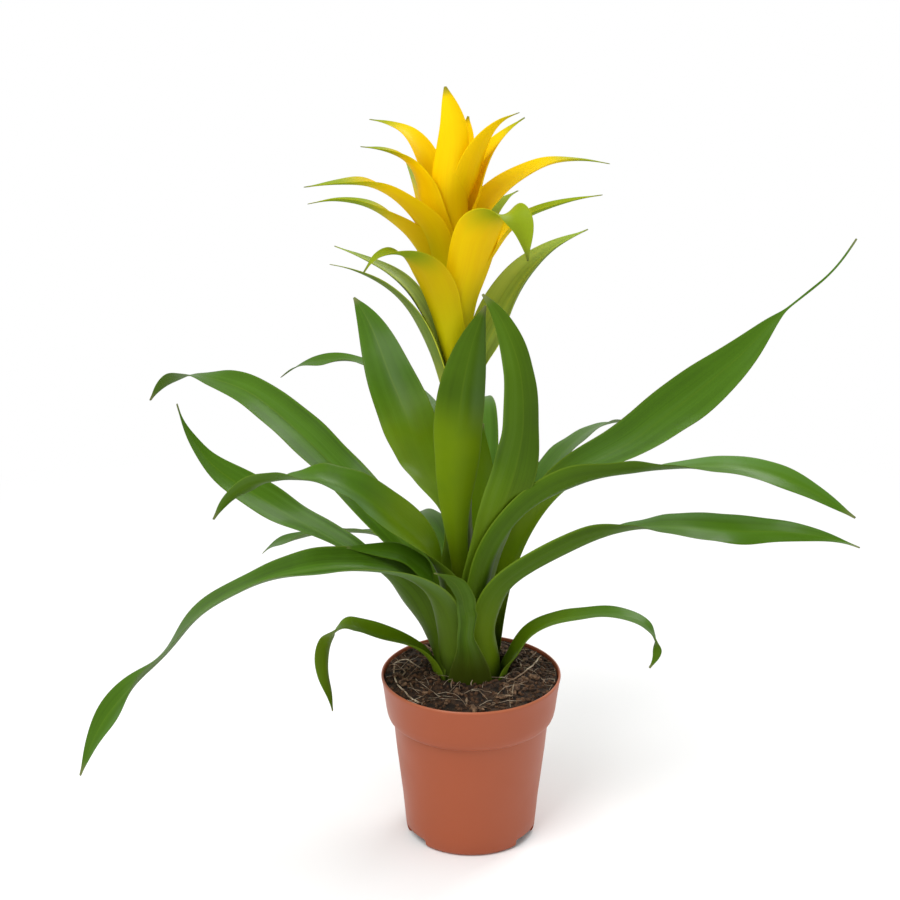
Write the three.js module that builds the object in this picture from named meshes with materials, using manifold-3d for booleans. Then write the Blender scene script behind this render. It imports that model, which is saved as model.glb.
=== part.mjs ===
// Guzmania in bloom in a plastic nursery pot.
// Millimetres, +Z up, -Y to the front, origin at the centre of the pot's underside.

import * as THREE from "three";
import { mergeVertices } from "three/addons/utils/BufferGeometryUtils.js";
import Module from "manifold-3d";

const wasm = await Module();
wasm.setup();

// Pot: outer profile as [radius, height] from the foot to the rim
const POT_OUTER = [
  [30, 0], [32, 0.7], [32.8, 2.4], [34.4, 20], [35.9, 33], [39.1, 63.1],
  [41.4, 64.5], [42.6, 69], [43.7, 78], [44.9, 85.6], [44.6, 86.5],
];
const POT_WALL = 1.3;
const POT_FLOOR = 1.5;
// The floor's inner corner, from the floor to the wall
const POT_CORNER = [[29.5, 1.5], [31.5, 4]];
const POT_SIDES = 48;
const NOTCH_AZIMUTHS = [90, 210, 330];
const NOTCH_WIDTH = 18;
const NOTCH_HEIGHT = 4.5;
const NOTCH_INNER_RADIUS = 27.5;

// Potting mix: a root ball with a rough top that rises from the rim to the leaves
const GAP = 0.3;
const MIX_LEVEL = 85;
const MIX_SIDES = 36;
const MIX_EDGE = 42.9;
const MIX_RINGS = [39.5, 35, 30.5, 26];
const MIX_LUMP = 0.65;
const MIX_WAVES = [{ around: 5, across: 1 }, { around: 11, across: -0.7 }];
const MIX_MOUND = 3.5;

// Stem: rootstock, then the flower stem that leans to the left above the crown
const CROWN_RADIUS = 20.6;
const CROWN_RIM_HEIGHT = 79.6;
const CROWN_TOP_RADIUS = 4.4;
const CROWN_TOP_HEIGHT = 84;
// The rootstock below the leaf feet, [radius, height] from the crown's rim down to the root
const ROOTSTOCK = [
  [CROWN_RADIUS, CROWN_RIM_HEIGHT], [CROWN_RADIUS - 0.6, CROWN_RIM_HEIGHT - 1.2], [12, 75], [6, 69],
  [5, 55], [3.5, 49],
];
const ROOT_TIP = 48;
const STEM_RADIUS = 3.9;
const STEM_TOP_RADIUS = 1.8;
const TAPER_START = 200;
const TAPER_END = 336;
const STEM_HEIGHTS = [86, 140, 200, 230, 260, 290, 315, 336];
const STEM_TIP = 338;
const STEM_SIDES = 16;
const LEAN_START = 84;
const LEAN_DEGREES = 2.44;

// Blades: leaves and bracts are channelled straps, a whole number of facets across
const FACETS_ACROSS = 4;
const LEAF_STATIONS = 18;
const BRACT_STATIONS = 9;
const EDGE_THICKNESS = 0.65;
const TIP_WIDTH = 1.4;
// Shares of a blade's length: thickened between them, and centred on its path past the last
const THICK_BY = 0.3;
const THIN_FROM = 0.8;
const CENTRED_FROM = 0.25;
const CENTRED_BY = 0.5;

// Leaf feet stand in rings on the crown, each ring one step outside the last
const FIRST_RING = 6.6;
const RING_STEP = 1.05;
const FOOT_RISE = 10;

// Every path below is [out, up] or [out, up, side] from the pot's axis, in the plane of the azimuth.
// Azimuths are in degrees from the right, anticlockwise seen from above, so 270 is the front.
const LEAF_SHAPE = {
  width: 26, foot: 24, waist: 0.72, waistAt: 0.2, widest: 0.55, point: 1.2, close: 1, thickness: 1.0,
  channel: 0.42,
};
const LEAVES = [
  {
    name: "leaf_front_upright", ring: 0, azimuth: 270, width: 26, foot: 10, waist: 0.4, waistAt: 0.32,
    widest: 0.7, point: 1.0, channel: 0.6,
    path: [[9.5, 143, -5], [13, 176, -8], [14, 190, -8], [15, 206, -7], [16, 221, -7], [16, 230, -6],
      [17, 241, -5], [17, 261, -1], [17, 272, 2], [18, 283, 6]],
  },
  {
    name: "leaf_back_upright", ring: 1, azimuth: 80, width: 22, foot: 17, waist: 0.75,
    path: [[9.6, 117], [14.5, 143], [21, 170, -1], [26, 193, -1], [28, 209, -1]],
  },
  {
    name: "leaf_right_upright", ring: 2, azimuth: 305, width: 22, foot: 19, waist: 0.78, waistAt: 0.25,
    point: 0.8, roll: [[0.3, 0], [0.46, -14], [0.57, -40], [0.7, -8], [0.8, -8], [0.9, -35]],
    path: [[11, 130, -2], [24, 172, -3], [27, 181, -4], [36, 204, -1], [39, 217, -1], [40, 227],
      [40, 239], [39, 249], [36, 260], [32, 269, -1], [28, 278, -3], [24, 284, -5], [19, 289, -8]],
  },
  {
    name: "leaf_back_thin", ring: 3, azimuth: 95, width: 15, foot: 16, widest: 0.7, point: 0.8,
    roll: [[0.2, 0], [0.5, 48], [0.66, 36], [0.76, 8], [0.88, -40]],
    path: [[12, 118], [26, 147, -1], [45, 171, -2], [63, 191, 5], [77, 205, 16], [89, 213, 30],
      [100, 217, 41], [112, 217, 54], [123, 213, 67], [132, 209, 77], [137, 205, 83], [140, 198, 90]],
  },
  {
    name: "leaf_left_upright", ring: 4, azimuth: 120, width: 29, foot: 20, waist: 0.7, widest: 0.6,
    point: 0.9, roll: [[0.2, 0], [0.38, 29], [0.49, 9], [0.55, -3], [0.66, -30]],
    path: [[13.6, 111], [20.5, 131], [30, 157, -6], [39, 169, -5], [46, 176, -3], [54, 186, -1],
      [67, 205], [80, 219, 1], [93, 234, 1], [107, 244], [121, 251]],
  },
  {
    name: "leaf_right_long", ring: 6, azimuth: 35, width: 28, foot: 20, waist: 0.56, waistAt: 0.22,
    widest: 0.56, point: 1.1, close: 0.83, roll: [[0.15, 0], [0.45, 22], [0.65, 45], [1, 30]],
    path: [[15.7, 107], [20, 127], [28, 147], [39, 164], [51, 175], [64, 181], [101, 189],
      [120, 196, 2], [138, 203, 2], [157, 212, 2], [172, 219, 2], [183, 227, 1], [192, 233, 2],
      [200, 239, 1], [212, 245], [226, 251], [240, 259], [252, 272]],
  },
  {
    name: "leaf_left_high", ring: 6, azimuth: 145, width: 27, foot: 22, point: 1.0,
    roll: [[0.15, 0], [0.35, -28], [0.5, -13], [0.78, -12], [0.86, 15], [0.93, 42]],
    path: [[14.4, 105], [20, 121], [30, 135], [43, 147], [56, 158], [90, 183], [116, 198], [141, 209],
      [156, 210], [170, 211], [187, 208], [202, 199], [209, 189]],
  },
  {
    name: "leaf_right_arch", ring: 5, azimuth: 325, width: 24, foot: 19, waist: 0.62, widest: 0.62,
    point: 1.0,
    roll: [[0, 0], [0.15, -13], [0.35, -13], [0.5, -35], [0.59, -29], [0.66, -16], [0.75, 3],
      [0.82, 11], [0.91, 26], [1, 40]],
    path: [[11.8, 108, -3.5], [11.6, 126, -7], [15, 141, -9], [19.4, 156, -10.8], [24, 167, -10],
      [29.7, 178, -8.5], [36.3, 187.5, -4], [45.4, 194.8, 3.7], [55.2, 200, 11.8], [72.6, 203, 24],
      [91, 205.8, 34.4], [112, 207.8, 44], [131.4, 205.8, 53], [151, 198.7, 60.5], [165.7, 189.3, 67],
      [170.5, 186.2, 69]],
  },
  {
    name: "leaf_left_middle", ring: 7, azimuth: 222, width: 27, foot: 24, waist: 0.72, point: 1.0,
    roll: [[0.27, 0], [0.46, -52], [0.61, -47], [0.7, -26], [0.78, 6], [0.84, 38], [0.91, 80], [1, 110]],
    path: [[16.5, 105, 1], [18.8, 127, 3], [24.5, 147, 4], [34, 166, 5], [42, 176, 4], [55, 188, 2],
      [67, 199, 1], [78, 207, -1], [87, 212, -3], [97, 214, -7], [112, 215, -14], [118, 214, -18],
      [124, 210, -22], [129, 206, -25], [133, 196, -29]],
  },
  {
    name: "leaf_back_right", ring: 7, azimuth: 60, width: 20, foot: 18, roll: [[0.2, 0], [0.5, -20]],
    path: [[17.5, 104], [26, 125], [44, 147], [74, 166.5], [100, 174], [124, 176], [145, 174],
      [170, 168], [195, 159]],
  },
  {
    name: "leaf_front_short", ring: 8, azimuth: 238, width: 16, foot: 15, point: 1.0,
    roll: [[0.4, 0], [0.65, -60], [0.8, -52], [1, -55]],
    path: [[18.3, 102, 1], [22.6, 122, 1], [27, 137, 1], [34, 149, 0], [43, 160, -4], [50, 167, -9],
      [58, 170, -15], [65, 172, -21], [70, 173, -27]],
  },
  {
    name: "leaf_back_left_thin", ring: 8, azimuth: 132, width: 15, foot: 15, widest: 0.65, point: 0.8,
    roll: [[0.2, 0], [0.4, 20], [0.69, 10], [0.9, -30]],
    path: [[18, 102], [26, 117], [45, 133], [68, 140], [92, 135], [119, 126], [136, 118], [150, 112],
      [161, 106], [171, 97]],
  },
  {
    name: "leaf_right_low", ring: 8, azimuth: 328, width: 25, foot: 16, waist: 0.75,
    roll: [[0, 0], [0.12, -5], [0.22, -18], [0.46, -25], [0.55, -14], [0.62, 3], [0.71, 19],
      [0.8, 38], [0.9, 42], [1, 10]],
    path: [[14.8, 111, -7.3], [18.4, 126, -9.7], [23, 138, -10.3], [29.7, 146, -7.4],
      [37.3, 152.7, -1.4], [44.5, 158.5, 4.2], [50, 162.3, 9], [57.7, 167.6, 15], [66.6, 170.7, 20.4],
      [74.7, 173, 25.4], [92, 175, 31.5], [112, 174.5, 39], [125.6, 175, 43], [139, 176.4, 48],
      [150, 176.6, 51], [166.5, 174.8, 58], [176.7, 171.4, 61]],
  },
  {
    name: "leaf_left_droop", ring: 9, azimuth: 225, width: 26, foot: 22, widest: 0.6, point: 1.0,
    roll: [[0.15, 0], [0.33, -20], [0.43, -13], [0.56, 25], [0.77, 48], [0.9, -14]],
    path: [[19.6, 102, 3], [25.5, 120, 6], [33, 138, 8], [45, 151, 8], [58, 161, 5], [74, 167],
      [87, 170, -6], [99, 170, -12], [110, 168, -20], [120, 164, -27], [129, 158, -34],
      [137, 153, -40], [143, 144, -45], [147, 135, -49], [152, 128, -53], [161, 116, -62],
      [169, 101, -71], [174, 92, -75], [177, 82, -78], [181, 66, -82]],
  },
  {
    name: "leaf_back_arch", ring: 9, azimuth: 88, width: 25, foot: 22,
    path: [[20.6, 106], [33, 127], [54, 154], [82, 177], [115, 190], [145, 182], [163, 165]],
  },
  {
    name: "leaf_left_low", ring: 10.3, azimuth: 178, width: 25, foot: 21, point: 1.4,
    roll: [[0.45, 0], [0.8, -38], [0.9, -26]],
    path: [[20.5, 101], [27.5, 115], [39, 132], [51.5, 145], [64.5, 155.5], [75.5, 162.5], [89, 170],
      [101, 178], [112, 185], [122, 192], [130, 200], [135, 208], [139, 215], [142, 227]],
  },
  {
    name: "leaf_back_low", ring: 10.4, azimuth: 106, width: 20, foot: 17,
    path: [[21.7, 101], [31, 117], [52, 132], [82, 138], [110, 130], [127, 112]],
  },
  {
    name: "leaf_left_small", ring: 11.7, azimuth: 195, width: 15, foot: 14, waist: 0.8, point: 1.0,
    roll: [[0.2, 0], [0.4, -16], [0.52, -8], [0.6, 25], [0.66, 48], [1, 45]],
    path: [[21.2, 95.3], [26.5, 102], [46, 113], [54, 117], [61, 120], [66, 120], [69, 118],
      [73, 114, -1], [75, 107, -1], [75, 98], [74, 90], [72, 82], [71, 74]],
  },
  {
    name: "leaf_right_small", ring: 11, azimuth: 345, width: 15, foot: 16, waist: 0.8, point: 1.0,
    roll: [[0.1, 10], [0.2, 26], [0.42, 8], [0.6, -3], [0.8, 3], [0.86, -15], [0.93, -85]],
    path: [[22, 97], [30, 111], [45, 121], [58, 125], [67, 127], [77, 127], [85, 125], [90, 121],
      [93, 115], [94, 110], [93, 105], [90, 100]],
  },
  {
    name: "leaf_front_fold", ring: 12, azimuth: 268, width: 13, foot: 23, waist: 0.7, waistAt: 0.48,
    widest: 0.75, roll: [[0.55, 0], [0.68, -38], [0.78, -25], [0.88, 0]],
    path: [[23, 99], [28.5, 113, -1], [31, 119, -2], [36, 132, -1], [41, 142, -2], [46, 150, -3],
      [50, 158, -7], [55, 164, -16]],
  },
];

// Bract paths are measured from the point where the flower stem starts to lean
const BRACT_SHAPE = {
  width: 21, foot: 7, waist: 0.62, waistAt: 0.2, widest: 0.42, point: 1.3, close: 1, thickness: 1.1,
  channel: 0.6,
};
const BRACT_RISE = [[0, 0], [0.9, 5], [2.8, 14], [7, 32]];
const STEM_BRACTS = [
  {
    name: "stem_bract_right", azimuth: 25, width: 23, channel: 1.1, up: 132,
    path: [[17, 174], [24, 189], [35, 203], [51, 214], [72, 220]],
  },
  {
    name: "stem_bract_left", azimuth: 190, width: 17, up: 138, roll: [[0, 10]],
    path: [[17, 187], [25, 200], [35, 209], [48, 216], [58, 219]],
  },
  {
    name: "stem_bract_back", azimuth: 95, width: 17, up: 144,
    path: [[17, 190], [26, 202], [40, 212], [58, 218]],
  },
  {
    name: "stem_bract_upper_left", azimuth: 165, width: 17, up: 150,
    path: [[19, 198], [30, 209], [44, 216], [58, 221]],
  },
];
const FLOWER_BRACTS = [
  {
    name: "flower_bract_01", azimuth: 235, up: 158, width: 26,
    path: [[16, 207], [24, 220], [38, 229], [52, 232], [62, 231], [68, 227]],
  },
  {
    name: "flower_bract_02", azimuth: 288, up: 165, width: 22, widest: 0.6,
    path: [[14.5, 212, 3], [20, 228, 5], [27, 241, 9], [37, 246, 16], [42, 241, 20], [44, 232, 21],
      [43, 223, 22]],
  },
  {
    name: "flower_bract_03", azimuth: 58, up: 171,
    path: [[18, 219], [32, 230], [48, 234], [62, 235]],
  },
  {
    name: "flower_bract_04", azimuth: 350, up: 176, width: 17,
    path: [[18, 219.5], [25, 229.5], [34, 237], [45, 241.5], [58, 245], [71, 247]],
  },
  {
    name: "flower_bract_05", azimuth: 175, up: 181, width: 23,
    path: [[16, 226], [25, 235], [38, 243.5], [54, 246], [67, 244]],
  },
  {
    name: "flower_bract_06", azimuth: 115, up: 186,
    path: [[17, 234], [27, 245], [40, 252], [55, 256]],
  },
  {
    name: "flower_bract_07", azimuth: 215, up: 191, width: 23, roll: [[0.1, 0], [0.25, 12], [0.6, 0]],
    path: [[16, 238], [28, 251], [43, 260], [59, 263], [78, 264]],
  },
  {
    name: "flower_bract_08", azimuth: 20, up: 196, width: 18,
    path: [[16, 239], [24, 246.5], [35, 252.5], [50, 257], [66, 256], [81, 252]],
  },
  {
    name: "flower_bract_09", azimuth: 84, up: 201,
    path: [[14.5, 246], [25, 260], [40, 267]],
  },
  {
    name: "flower_bract_10", azimuth: 200, up: 206, roll: [[0.1, 0], [0.25, 17], [0.8, 0]],
    path: [[12.5, 254], [19.5, 266], [29.5, 271.5], [42, 274.5]],
  },
  {
    name: "flower_bract_11", azimuth: 5, up: 211, width: 18, roll: [[0.1, 0], [0.3, 17]],
    path: [[14, 257], [20, 268], [28, 276], [36, 281]],
  },
  {
    name: "flower_bract_12", azimuth: 150, up: 216, width: 18,
    path: [[12.5, 263], [21, 275], [31, 278.5], [42, 279.5]],
  },
  {
    name: "flower_bract_13", azimuth: 330, up: 221, width: 17,
    path: [[14.5, 266], [21, 277], [29, 284], [38, 288]],
  },
  {
    name: "flower_bract_14", azimuth: 75, up: 226, width: 17,
    path: [[12.5, 272, -5], [14, 284, -6.5]],
  },
  {
    name: "flower_bract_15", azimuth: 270, up: 231, width: 19, point: 1.0, cap: 0.95,
    path: [[10, 280, 3], [7.5, 299, 0]],
  },
];

const MATERIALS = {
  terracotta: { color: 0xb06a4a, roughness: 0.55, metalness: 0 },
  peat: { color: 0x2b1a10, roughness: 1, metalness: 0 },
  stem: { color: 0x6f7f2a, roughness: 0.6, metalness: 0 },
  leaf: { color: 0x4c7a2c, roughness: 0.4, metalness: 0 },
  greenBract: { color: 0x7d9a2e, roughness: 0.45, metalness: 0 },
  yellowBract: { color: 0xf2cc12, roughness: 0.45, metalness: 0 },
};

const radians = THREE.MathUtils.degToRad;
const lerp = THREE.MathUtils.lerp;
const smooth = (x) => THREE.MathUtils.smoothstep(x, 0, 1);

function piece(name, geometry, material) {
  geometry.computeVertexNormals();
  const mesh = new THREE.Mesh(geometry, new THREE.MeshStandardMaterial(MATERIALS[material]));
  mesh.name = name;
  return mesh;
}

// A closed profile of [radius, height] turned about Z, its seam and poles merged
function turned(profile, sides) {
  const points = profile.map(([radius, height]) => new THREE.Vector2(radius, height));
  const geometry = new THREE.LatheGeometry(points, sides);
  geometry.deleteAttribute("normal");
  geometry.deleteAttribute("uv");
  geometry.rotateX(Math.PI / 2);
  return mergeVertices(geometry, 1e-4);
}

function toSolid(geometry) {
  return new wasm.Manifold(new wasm.Mesh({
    numProp: 3,
    vertProperties: new Float32Array(geometry.attributes.position.array),
    triVerts: new Uint32Array(geometry.index.array),
  }));
}

function toGeometry(solid) {
  const mesh = solid.getMesh();
  const geometry = new THREE.BufferGeometry();
  geometry.setAttribute("position", new THREE.BufferAttribute(mesh.vertProperties, 3));
  geometry.setIndex(new THREE.BufferAttribute(mesh.triVerts, 1));
  return geometry;
}

// The pot's inner profile from the floor to the rim, one wall inside the outer one
function potInner() {
  const wall = POT_OUTER.filter(([, height]) => height > POT_CORNER[1][1]);
  return [...POT_CORNER, ...wall.map(([radius, height]) => [radius - POT_WALL, height])];
}

function pot() {
  const profile = [[0, 0], ...POT_OUTER, ...potInner().reverse(), [0, POT_FLOOR]];
  let body = toSolid(turned(profile, POT_SIDES));
  for (const azimuth of NOTCH_AZIMUTHS) {
    const reach = POT_OUTER[0][0];
    const block = new THREE.BoxGeometry(reach, NOTCH_WIDTH, 2 * NOTCH_HEIGHT);
    block.deleteAttribute("normal");
    block.deleteAttribute("uv");
    block.translate(NOTCH_INNER_RADIUS + reach / 2, 0, 0);
    block.rotateZ(radians(azimuth));
    body = body.subtract(toSolid(mergeVertices(block)));
  }
  return piece("pot", toGeometry(body), "terracotta");
}

function crownHeight(radius) {
  const across = (radius - CROWN_TOP_RADIUS) / (CROWN_RADIUS - CROWN_TOP_RADIUS);
  return lerp(CROWN_TOP_HEIGHT, CROWN_RIM_HEIGHT, across);
}

function stemRadius(height) {
  return lerp(STEM_RADIUS, STEM_TOP_RADIUS, smooth((height - TAPER_START) / (TAPER_END - TAPER_START)));
}

// Leans what stands above the crown to the left, as the flower does
function lean(geometry) {
  const slope = Math.tan(radians(LEAN_DEGREES));
  const { position } = geometry.attributes;
  for (let i = 0; i < position.count; i += 1) {
    const rise = Math.max(0, position.getZ(i) - LEAN_START);
    position.setX(i, position.getX(i) - slope * rise);
  }
}

function stem() {
  const root = [...ROOTSTOCK].reverse();
  const shaft = STEM_HEIGHTS.map((height) => [stemRadius(height), height]);
  const crown = [CROWN_TOP_RADIUS, CROWN_TOP_HEIGHT];
  const geometry = turned([[0, ROOT_TIP], ...root, crown, ...shaft, [0, STEM_TIP]], STEM_SIDES);
  lean(geometry);
  return piece("stem", geometry, "stem");
}

function mixHeight(radius) {
  return MIX_LEVEL + MIX_MOUND * smooth((MIX_EDGE - radius) / (MIX_EDGE - CROWN_RADIUS));
}

function pottingMix() {
  const wall = potInner().filter(([, height]) => height < MIX_LEVEL);
  const side = wall.map(([radius, height]) => [radius - GAP, height + GAP]);
  const top = [MIX_EDGE, ...MIX_RINGS, CROWN_RADIUS + GAP].map((radius) => [radius, mixHeight(radius)]);
  const pit = ROOTSTOCK.map(([radius, height]) => [radius + GAP, height - GAP]);
  const profile = [[0, POT_FLOOR + GAP], ...side, ...top, ...pit, [0, ROOT_TIP - 2 * GAP]];
  const geometry = turned(profile, MIX_SIDES);
  const { position } = geometry.attributes;
  for (let i = 0; i < position.count; i += 1) {
    const height = position.getZ(i);
    if (height > MIX_LEVEL) {
      const radius = Math.hypot(position.getX(i), position.getY(i));
      const azimuth = Math.atan2(position.getY(i), position.getX(i));
      const lumps = MIX_WAVES.map(({ around, across }) => Math.sin(around * azimuth + across * radius));
      position.setZ(i, height + MIX_LUMP * (lumps[0] + lumps[1]));
    }
  }
  return piece("potting_mix", geometry, "peat");
}

function halfWidth(t, shape) {
  const full = shape.width / 2;
  if (t < shape.waistAt) {
    return lerp(shape.foot / 2, shape.waist * full, smooth(t / shape.waistAt));
  }
  if (t < shape.widest) {
    return full * lerp(shape.waist, 1, smooth((t - shape.waistAt) / (shape.widest - shape.waistAt)));
  }
  const x = Math.min(1, (t - shape.widest) / (shape.close - shape.widest));
  return Math.max(TIP_WIDTH / 2, full * (1 - x) ** shape.point * (1 + shape.point * x));
}

// The turn of a blade about its own length at t, from keys of [t, degrees]
function rollAt(t, keys) {
  let [last, angle] = keys[0];
  for (const [next, turn] of keys) {
    if (t <= next) {
      return radians(next > last ? lerp(angle, turn, smooth((t - last) / (next - last))) : turn);
    }
    [last, angle] = [next, turn];
  }
  return radians(angle);
}

// A strap with an arched section that clasps the axis at its foot and ends in a point
function bladeGeometry(shape, stations) {
  const azimuth = radians(shape.azimuth);
  const out = new THREE.Vector3(Math.cos(azimuth), Math.sin(azimuth), 0);
  const aside = new THREE.Vector3(-Math.sin(azimuth), Math.cos(azimuth), 0);
  const points = shape.path.map(([reach, up, side = 0]) => new THREE.Vector3(0, 0, up)
    .addScaledVector(out, reach)
    .addScaledVector(aside, side));
  const curve = new THREE.CatmullRomCurve3(points, false, "centripetal");
  const upper = [];
  const lower = [];
  for (let i = 0; i <= stations; i += 1) {
    const t = i / stations;
    const centre = curve.getPointAt(t);
    const along = curve.getTangentAt(t);
    const flat = aside.clone().addScaledVector(along, -aside.dot(along)).normalize();
    const face = along.clone().cross(flat);
    const roll = rollAt(t, shape.roll ?? [[0, 0]]);
    const across = flat.clone().multiplyScalar(Math.cos(roll)).addScaledVector(face, Math.sin(roll));
    const normal = along.clone().cross(across);
    const half = halfWidth(t, shape);
    const wrap = Math.min(shape.cap ?? Math.PI, half / Math.hypot(centre.x, centre.y));
    const bend = Math.max(shape.channel, wrap);
    const radius = half / bend;
    const body = smooth(t / THICK_BY) * (1 - smooth((t - THIN_FROM) / (1 - THIN_FROM)));
    const centred = smooth((t - CENTRED_FROM) / (CENTRED_BY - CENTRED_FROM));
    const dip = (centred * radius * (1 - Math.cos(bend))) / 2;
    for (let j = 0; j <= FACETS_ACROSS; j += 1) {
      const s = (2 * j) / FACETS_ACROSS - 1;
      const angle = s * bend;
      const thickness = lerp(EDGE_THICKNESS, shape.thickness, body * (1 - s * s));
      const middle = centre.clone()
        .addScaledVector(across, radius * Math.sin(angle))
        .addScaledVector(normal, radius * (1 - Math.cos(angle)) - dip);
      const inward = normal.clone().multiplyScalar(Math.cos(angle)).addScaledVector(across, -Math.sin(angle));
      upper.push(middle.clone().addScaledVector(inward, thickness / 2));
      lower.push(middle.clone().addScaledVector(inward, -thickness / 2));
    }
  }
  return stripGeometry(upper, lower, stations);
}

// Closes two like grids of points into one body, with the same diagonals on both faces
function stripGeometry(upper, lower, stations) {
  const row = FACETS_ACROSS + 1;
  const under = upper.length;
  const index = [];
  const quad = (a, b, c, d) => index.push(a, b, c, a, c, d);
  for (let i = 0; i < stations; i += 1) {
    for (let j = 0; j < FACETS_ACROSS; j += 1) {
      const a = i * row + j;
      const [b, c, d] = [a + row, a + row + 1, a + 1];
      if (j < FACETS_ACROSS / 2) {
        quad(a, b, c, d);
        quad(under + a, under + d, under + c, under + b);
      } else {
        quad(b, c, d, a);
        quad(under + d, under + c, under + b, under + a);
      }
    }
    const left = i * row;
    const right = left + FACETS_ACROSS;
    quad(left, under + left, under + left + row, left + row);
    quad(right, right + row, under + right + row, under + right);
  }
  for (let j = 0; j < FACETS_ACROSS; j += 1) {
    const tip = stations * row + j;
    quad(j, j + 1, under + j + 1, under + j);
    quad(tip, under + tip, under + tip + 1, tip + 1);
  }
  const geometry = new THREE.BufferGeometry().setFromPoints([...upper, ...lower]);
  geometry.setIndex(index);
  return geometry;
}

function leaf(entry) {
  const shape = { ...LEAF_SHAPE, ...entry };
  const ring = FIRST_RING + RING_STEP * shape.ring;
  const foot = crownHeight(ring - EDGE_THICKNESS / 2) + GAP;
  const rise = [[ring, foot], [ring + 0.4, foot + FOOT_RISE]];
  const path = [...rise, ...shape.path];
  return piece(shape.name, bladeGeometry({ ...shape, path }, LEAF_STATIONS), "leaf");
}

function bract(entry, material) {
  const shape = { ...BRACT_SHAPE, ...entry };
  const clasp = stemRadius(LEAN_START + shape.up) + GAP + EDGE_THICKNESS;
  const rise = BRACT_RISE.map(([spread, height]) => [clasp + spread, shape.up + height]);
  const path = [...rise, ...shape.path];
  return piece(shape.name, bladeGeometry({ ...shape, path }, BRACT_STATIONS), material);
}

const flower = new THREE.Group();
flower.position.z = LEAN_START;
flower.rotation.y = -radians(LEAN_DEGREES);
flower.add(...STEM_BRACTS.map((entry) => bract(entry, "greenBract")));
flower.add(...FLOWER_BRACTS.map((entry) => bract(entry, "yellowBract")));

const plant = new THREE.Group();
plant.add(pot(), pottingMix(), stem(), ...LEAVES.map(leaf), flower);

export default plant;
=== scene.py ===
"""Guzmania in bloom in a plastic nursery pot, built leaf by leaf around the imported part."""

import math
import random

import bpy
import numpy as np
from bpy.props import FloatProperty, FloatVectorProperty, IntProperty, PointerProperty
from mathutils import Matrix, Vector


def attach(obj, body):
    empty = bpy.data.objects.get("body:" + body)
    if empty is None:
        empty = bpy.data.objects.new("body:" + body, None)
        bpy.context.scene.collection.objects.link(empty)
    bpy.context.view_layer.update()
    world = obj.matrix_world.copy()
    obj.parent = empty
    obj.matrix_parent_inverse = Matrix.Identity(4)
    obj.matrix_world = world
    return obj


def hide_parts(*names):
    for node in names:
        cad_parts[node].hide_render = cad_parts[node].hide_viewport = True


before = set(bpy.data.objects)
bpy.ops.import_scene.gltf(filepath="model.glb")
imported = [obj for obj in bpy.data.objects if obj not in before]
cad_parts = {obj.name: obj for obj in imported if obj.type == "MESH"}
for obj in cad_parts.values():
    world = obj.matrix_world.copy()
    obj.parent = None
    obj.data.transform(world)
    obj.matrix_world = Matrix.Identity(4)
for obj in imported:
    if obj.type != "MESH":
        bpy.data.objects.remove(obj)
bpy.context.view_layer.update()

bl_info = {
    "name": "Potted guzmania",
    "version": (1, 0, 0),
    "blender": (4, 5, 0),
    "location": "3D View > Sidebar > Guzmania",
    "description": "Builds a potted guzmania piece by piece",
    "category": "Object",
}

MM = 0.001

# Pot, in millimetres: its profile as (radius, height), up the outside and down the inside, and the
# depth, width and height of its drain notches. The last two are angles between faces in degrees:
# sharper edges than the first are rounded, and flatter ones than the second are shaded smooth.
POT_OUTER = (
    (30, 0), (31.6, 0.4), (32.4, 1.3), (32.8, 2.4), (33.6, 11), (34.4, 20), (35.9, 33), (37.4, 46),
    (38.85, 61), (39.15, 62.7), (40.5, 63.6), (41.4, 64.5), (42, 66), (42.6, 69), (43.2, 74),
    (43.7, 78), (44.5, 83.4), (44.8, 84.6), (44.95, 85.5), (44.85, 86.1), (44.4, 86.5),
)
POT_INNER = (
    (44.0, 86.4), (43.7, 85.9), (43.5, 84), (42.4, 78), (41.3, 69), (40.1, 64.9), (37.8, 63.1),
    (34.6, 33), (33.1, 20), (31.5, 4), (30.6, 2.1), (29.5, 1.5),
)
NOTCH_AZIMUTHS = (90, 210, 330)
NOTCH_SIZE = (9, 18, 4.5)
NOTCH_INNER_RADIUS = 27.5
NOTCH_ROUNDING = 1.2
EDGE_ROUNDING = 0.25
SHARP_EDGE = 50
SMOOTH_UP_TO = 40

# Potting mix, mounded towards the leaves, and the crown that stands in it, in millimetres. Profiles
# are (radius, height).
MIX_LEVEL = 85
MIX_EDGE = 43
MIX_EDGE_FADE = 2.0
MIX_MOUND = 4.2
MIX_INNER_RADIUS = 20.6
MIX_RINGS = 26
ABOVE_MIX = 120
MIX_SIDE = (
    (29.2, 1.8), (31.2, 4.3), (32.8, 20.3), (34.3, 33.3), (37.4, 63.4), (39.8, 65.2), (41, 69.3),
    (42.1, 77.3), (42.9, 83.5),
)
CROWN_RADIUS = 20.6
CROWN_RIM_HEIGHT = 79.6
CROWN_TOP_RADIUS = 4.4
CROWN_TOP_HEIGHT = 84
PIT = ((20.9, 80.4), (20.3, 78.1), (12.3, 74.7), (6.3, 68.7), (5.3, 54.7), (3.8, 48.7), (0.6, 47.4))
ROOTSTOCK = (
    (0.6, 48), (3.5, 49), (5, 55), (6, 69), (12, 75), (20, 78.4), (20.6, 79.6), (12, 81.9),
    (4.4, 84),
)

# Lumps in the mix, as (size in millimetres, share of the lump height)
LUMPS = ((9, 0.45), (3.2, 0.6), (1.3, 0.3))

# Finishes of the mix: name, dark and light colour, scale of the broken colour and, if it isn't
# that of peat, roughness
PEAT = ("peat", (0.012, 0.007, 0.004), (0.075, 0.040, 0.021), 300.0)
COIR = ("coir", (0.22, 0.14, 0.08), (0.72, 0.60, 0.44), 160.0, 0.7)

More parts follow.
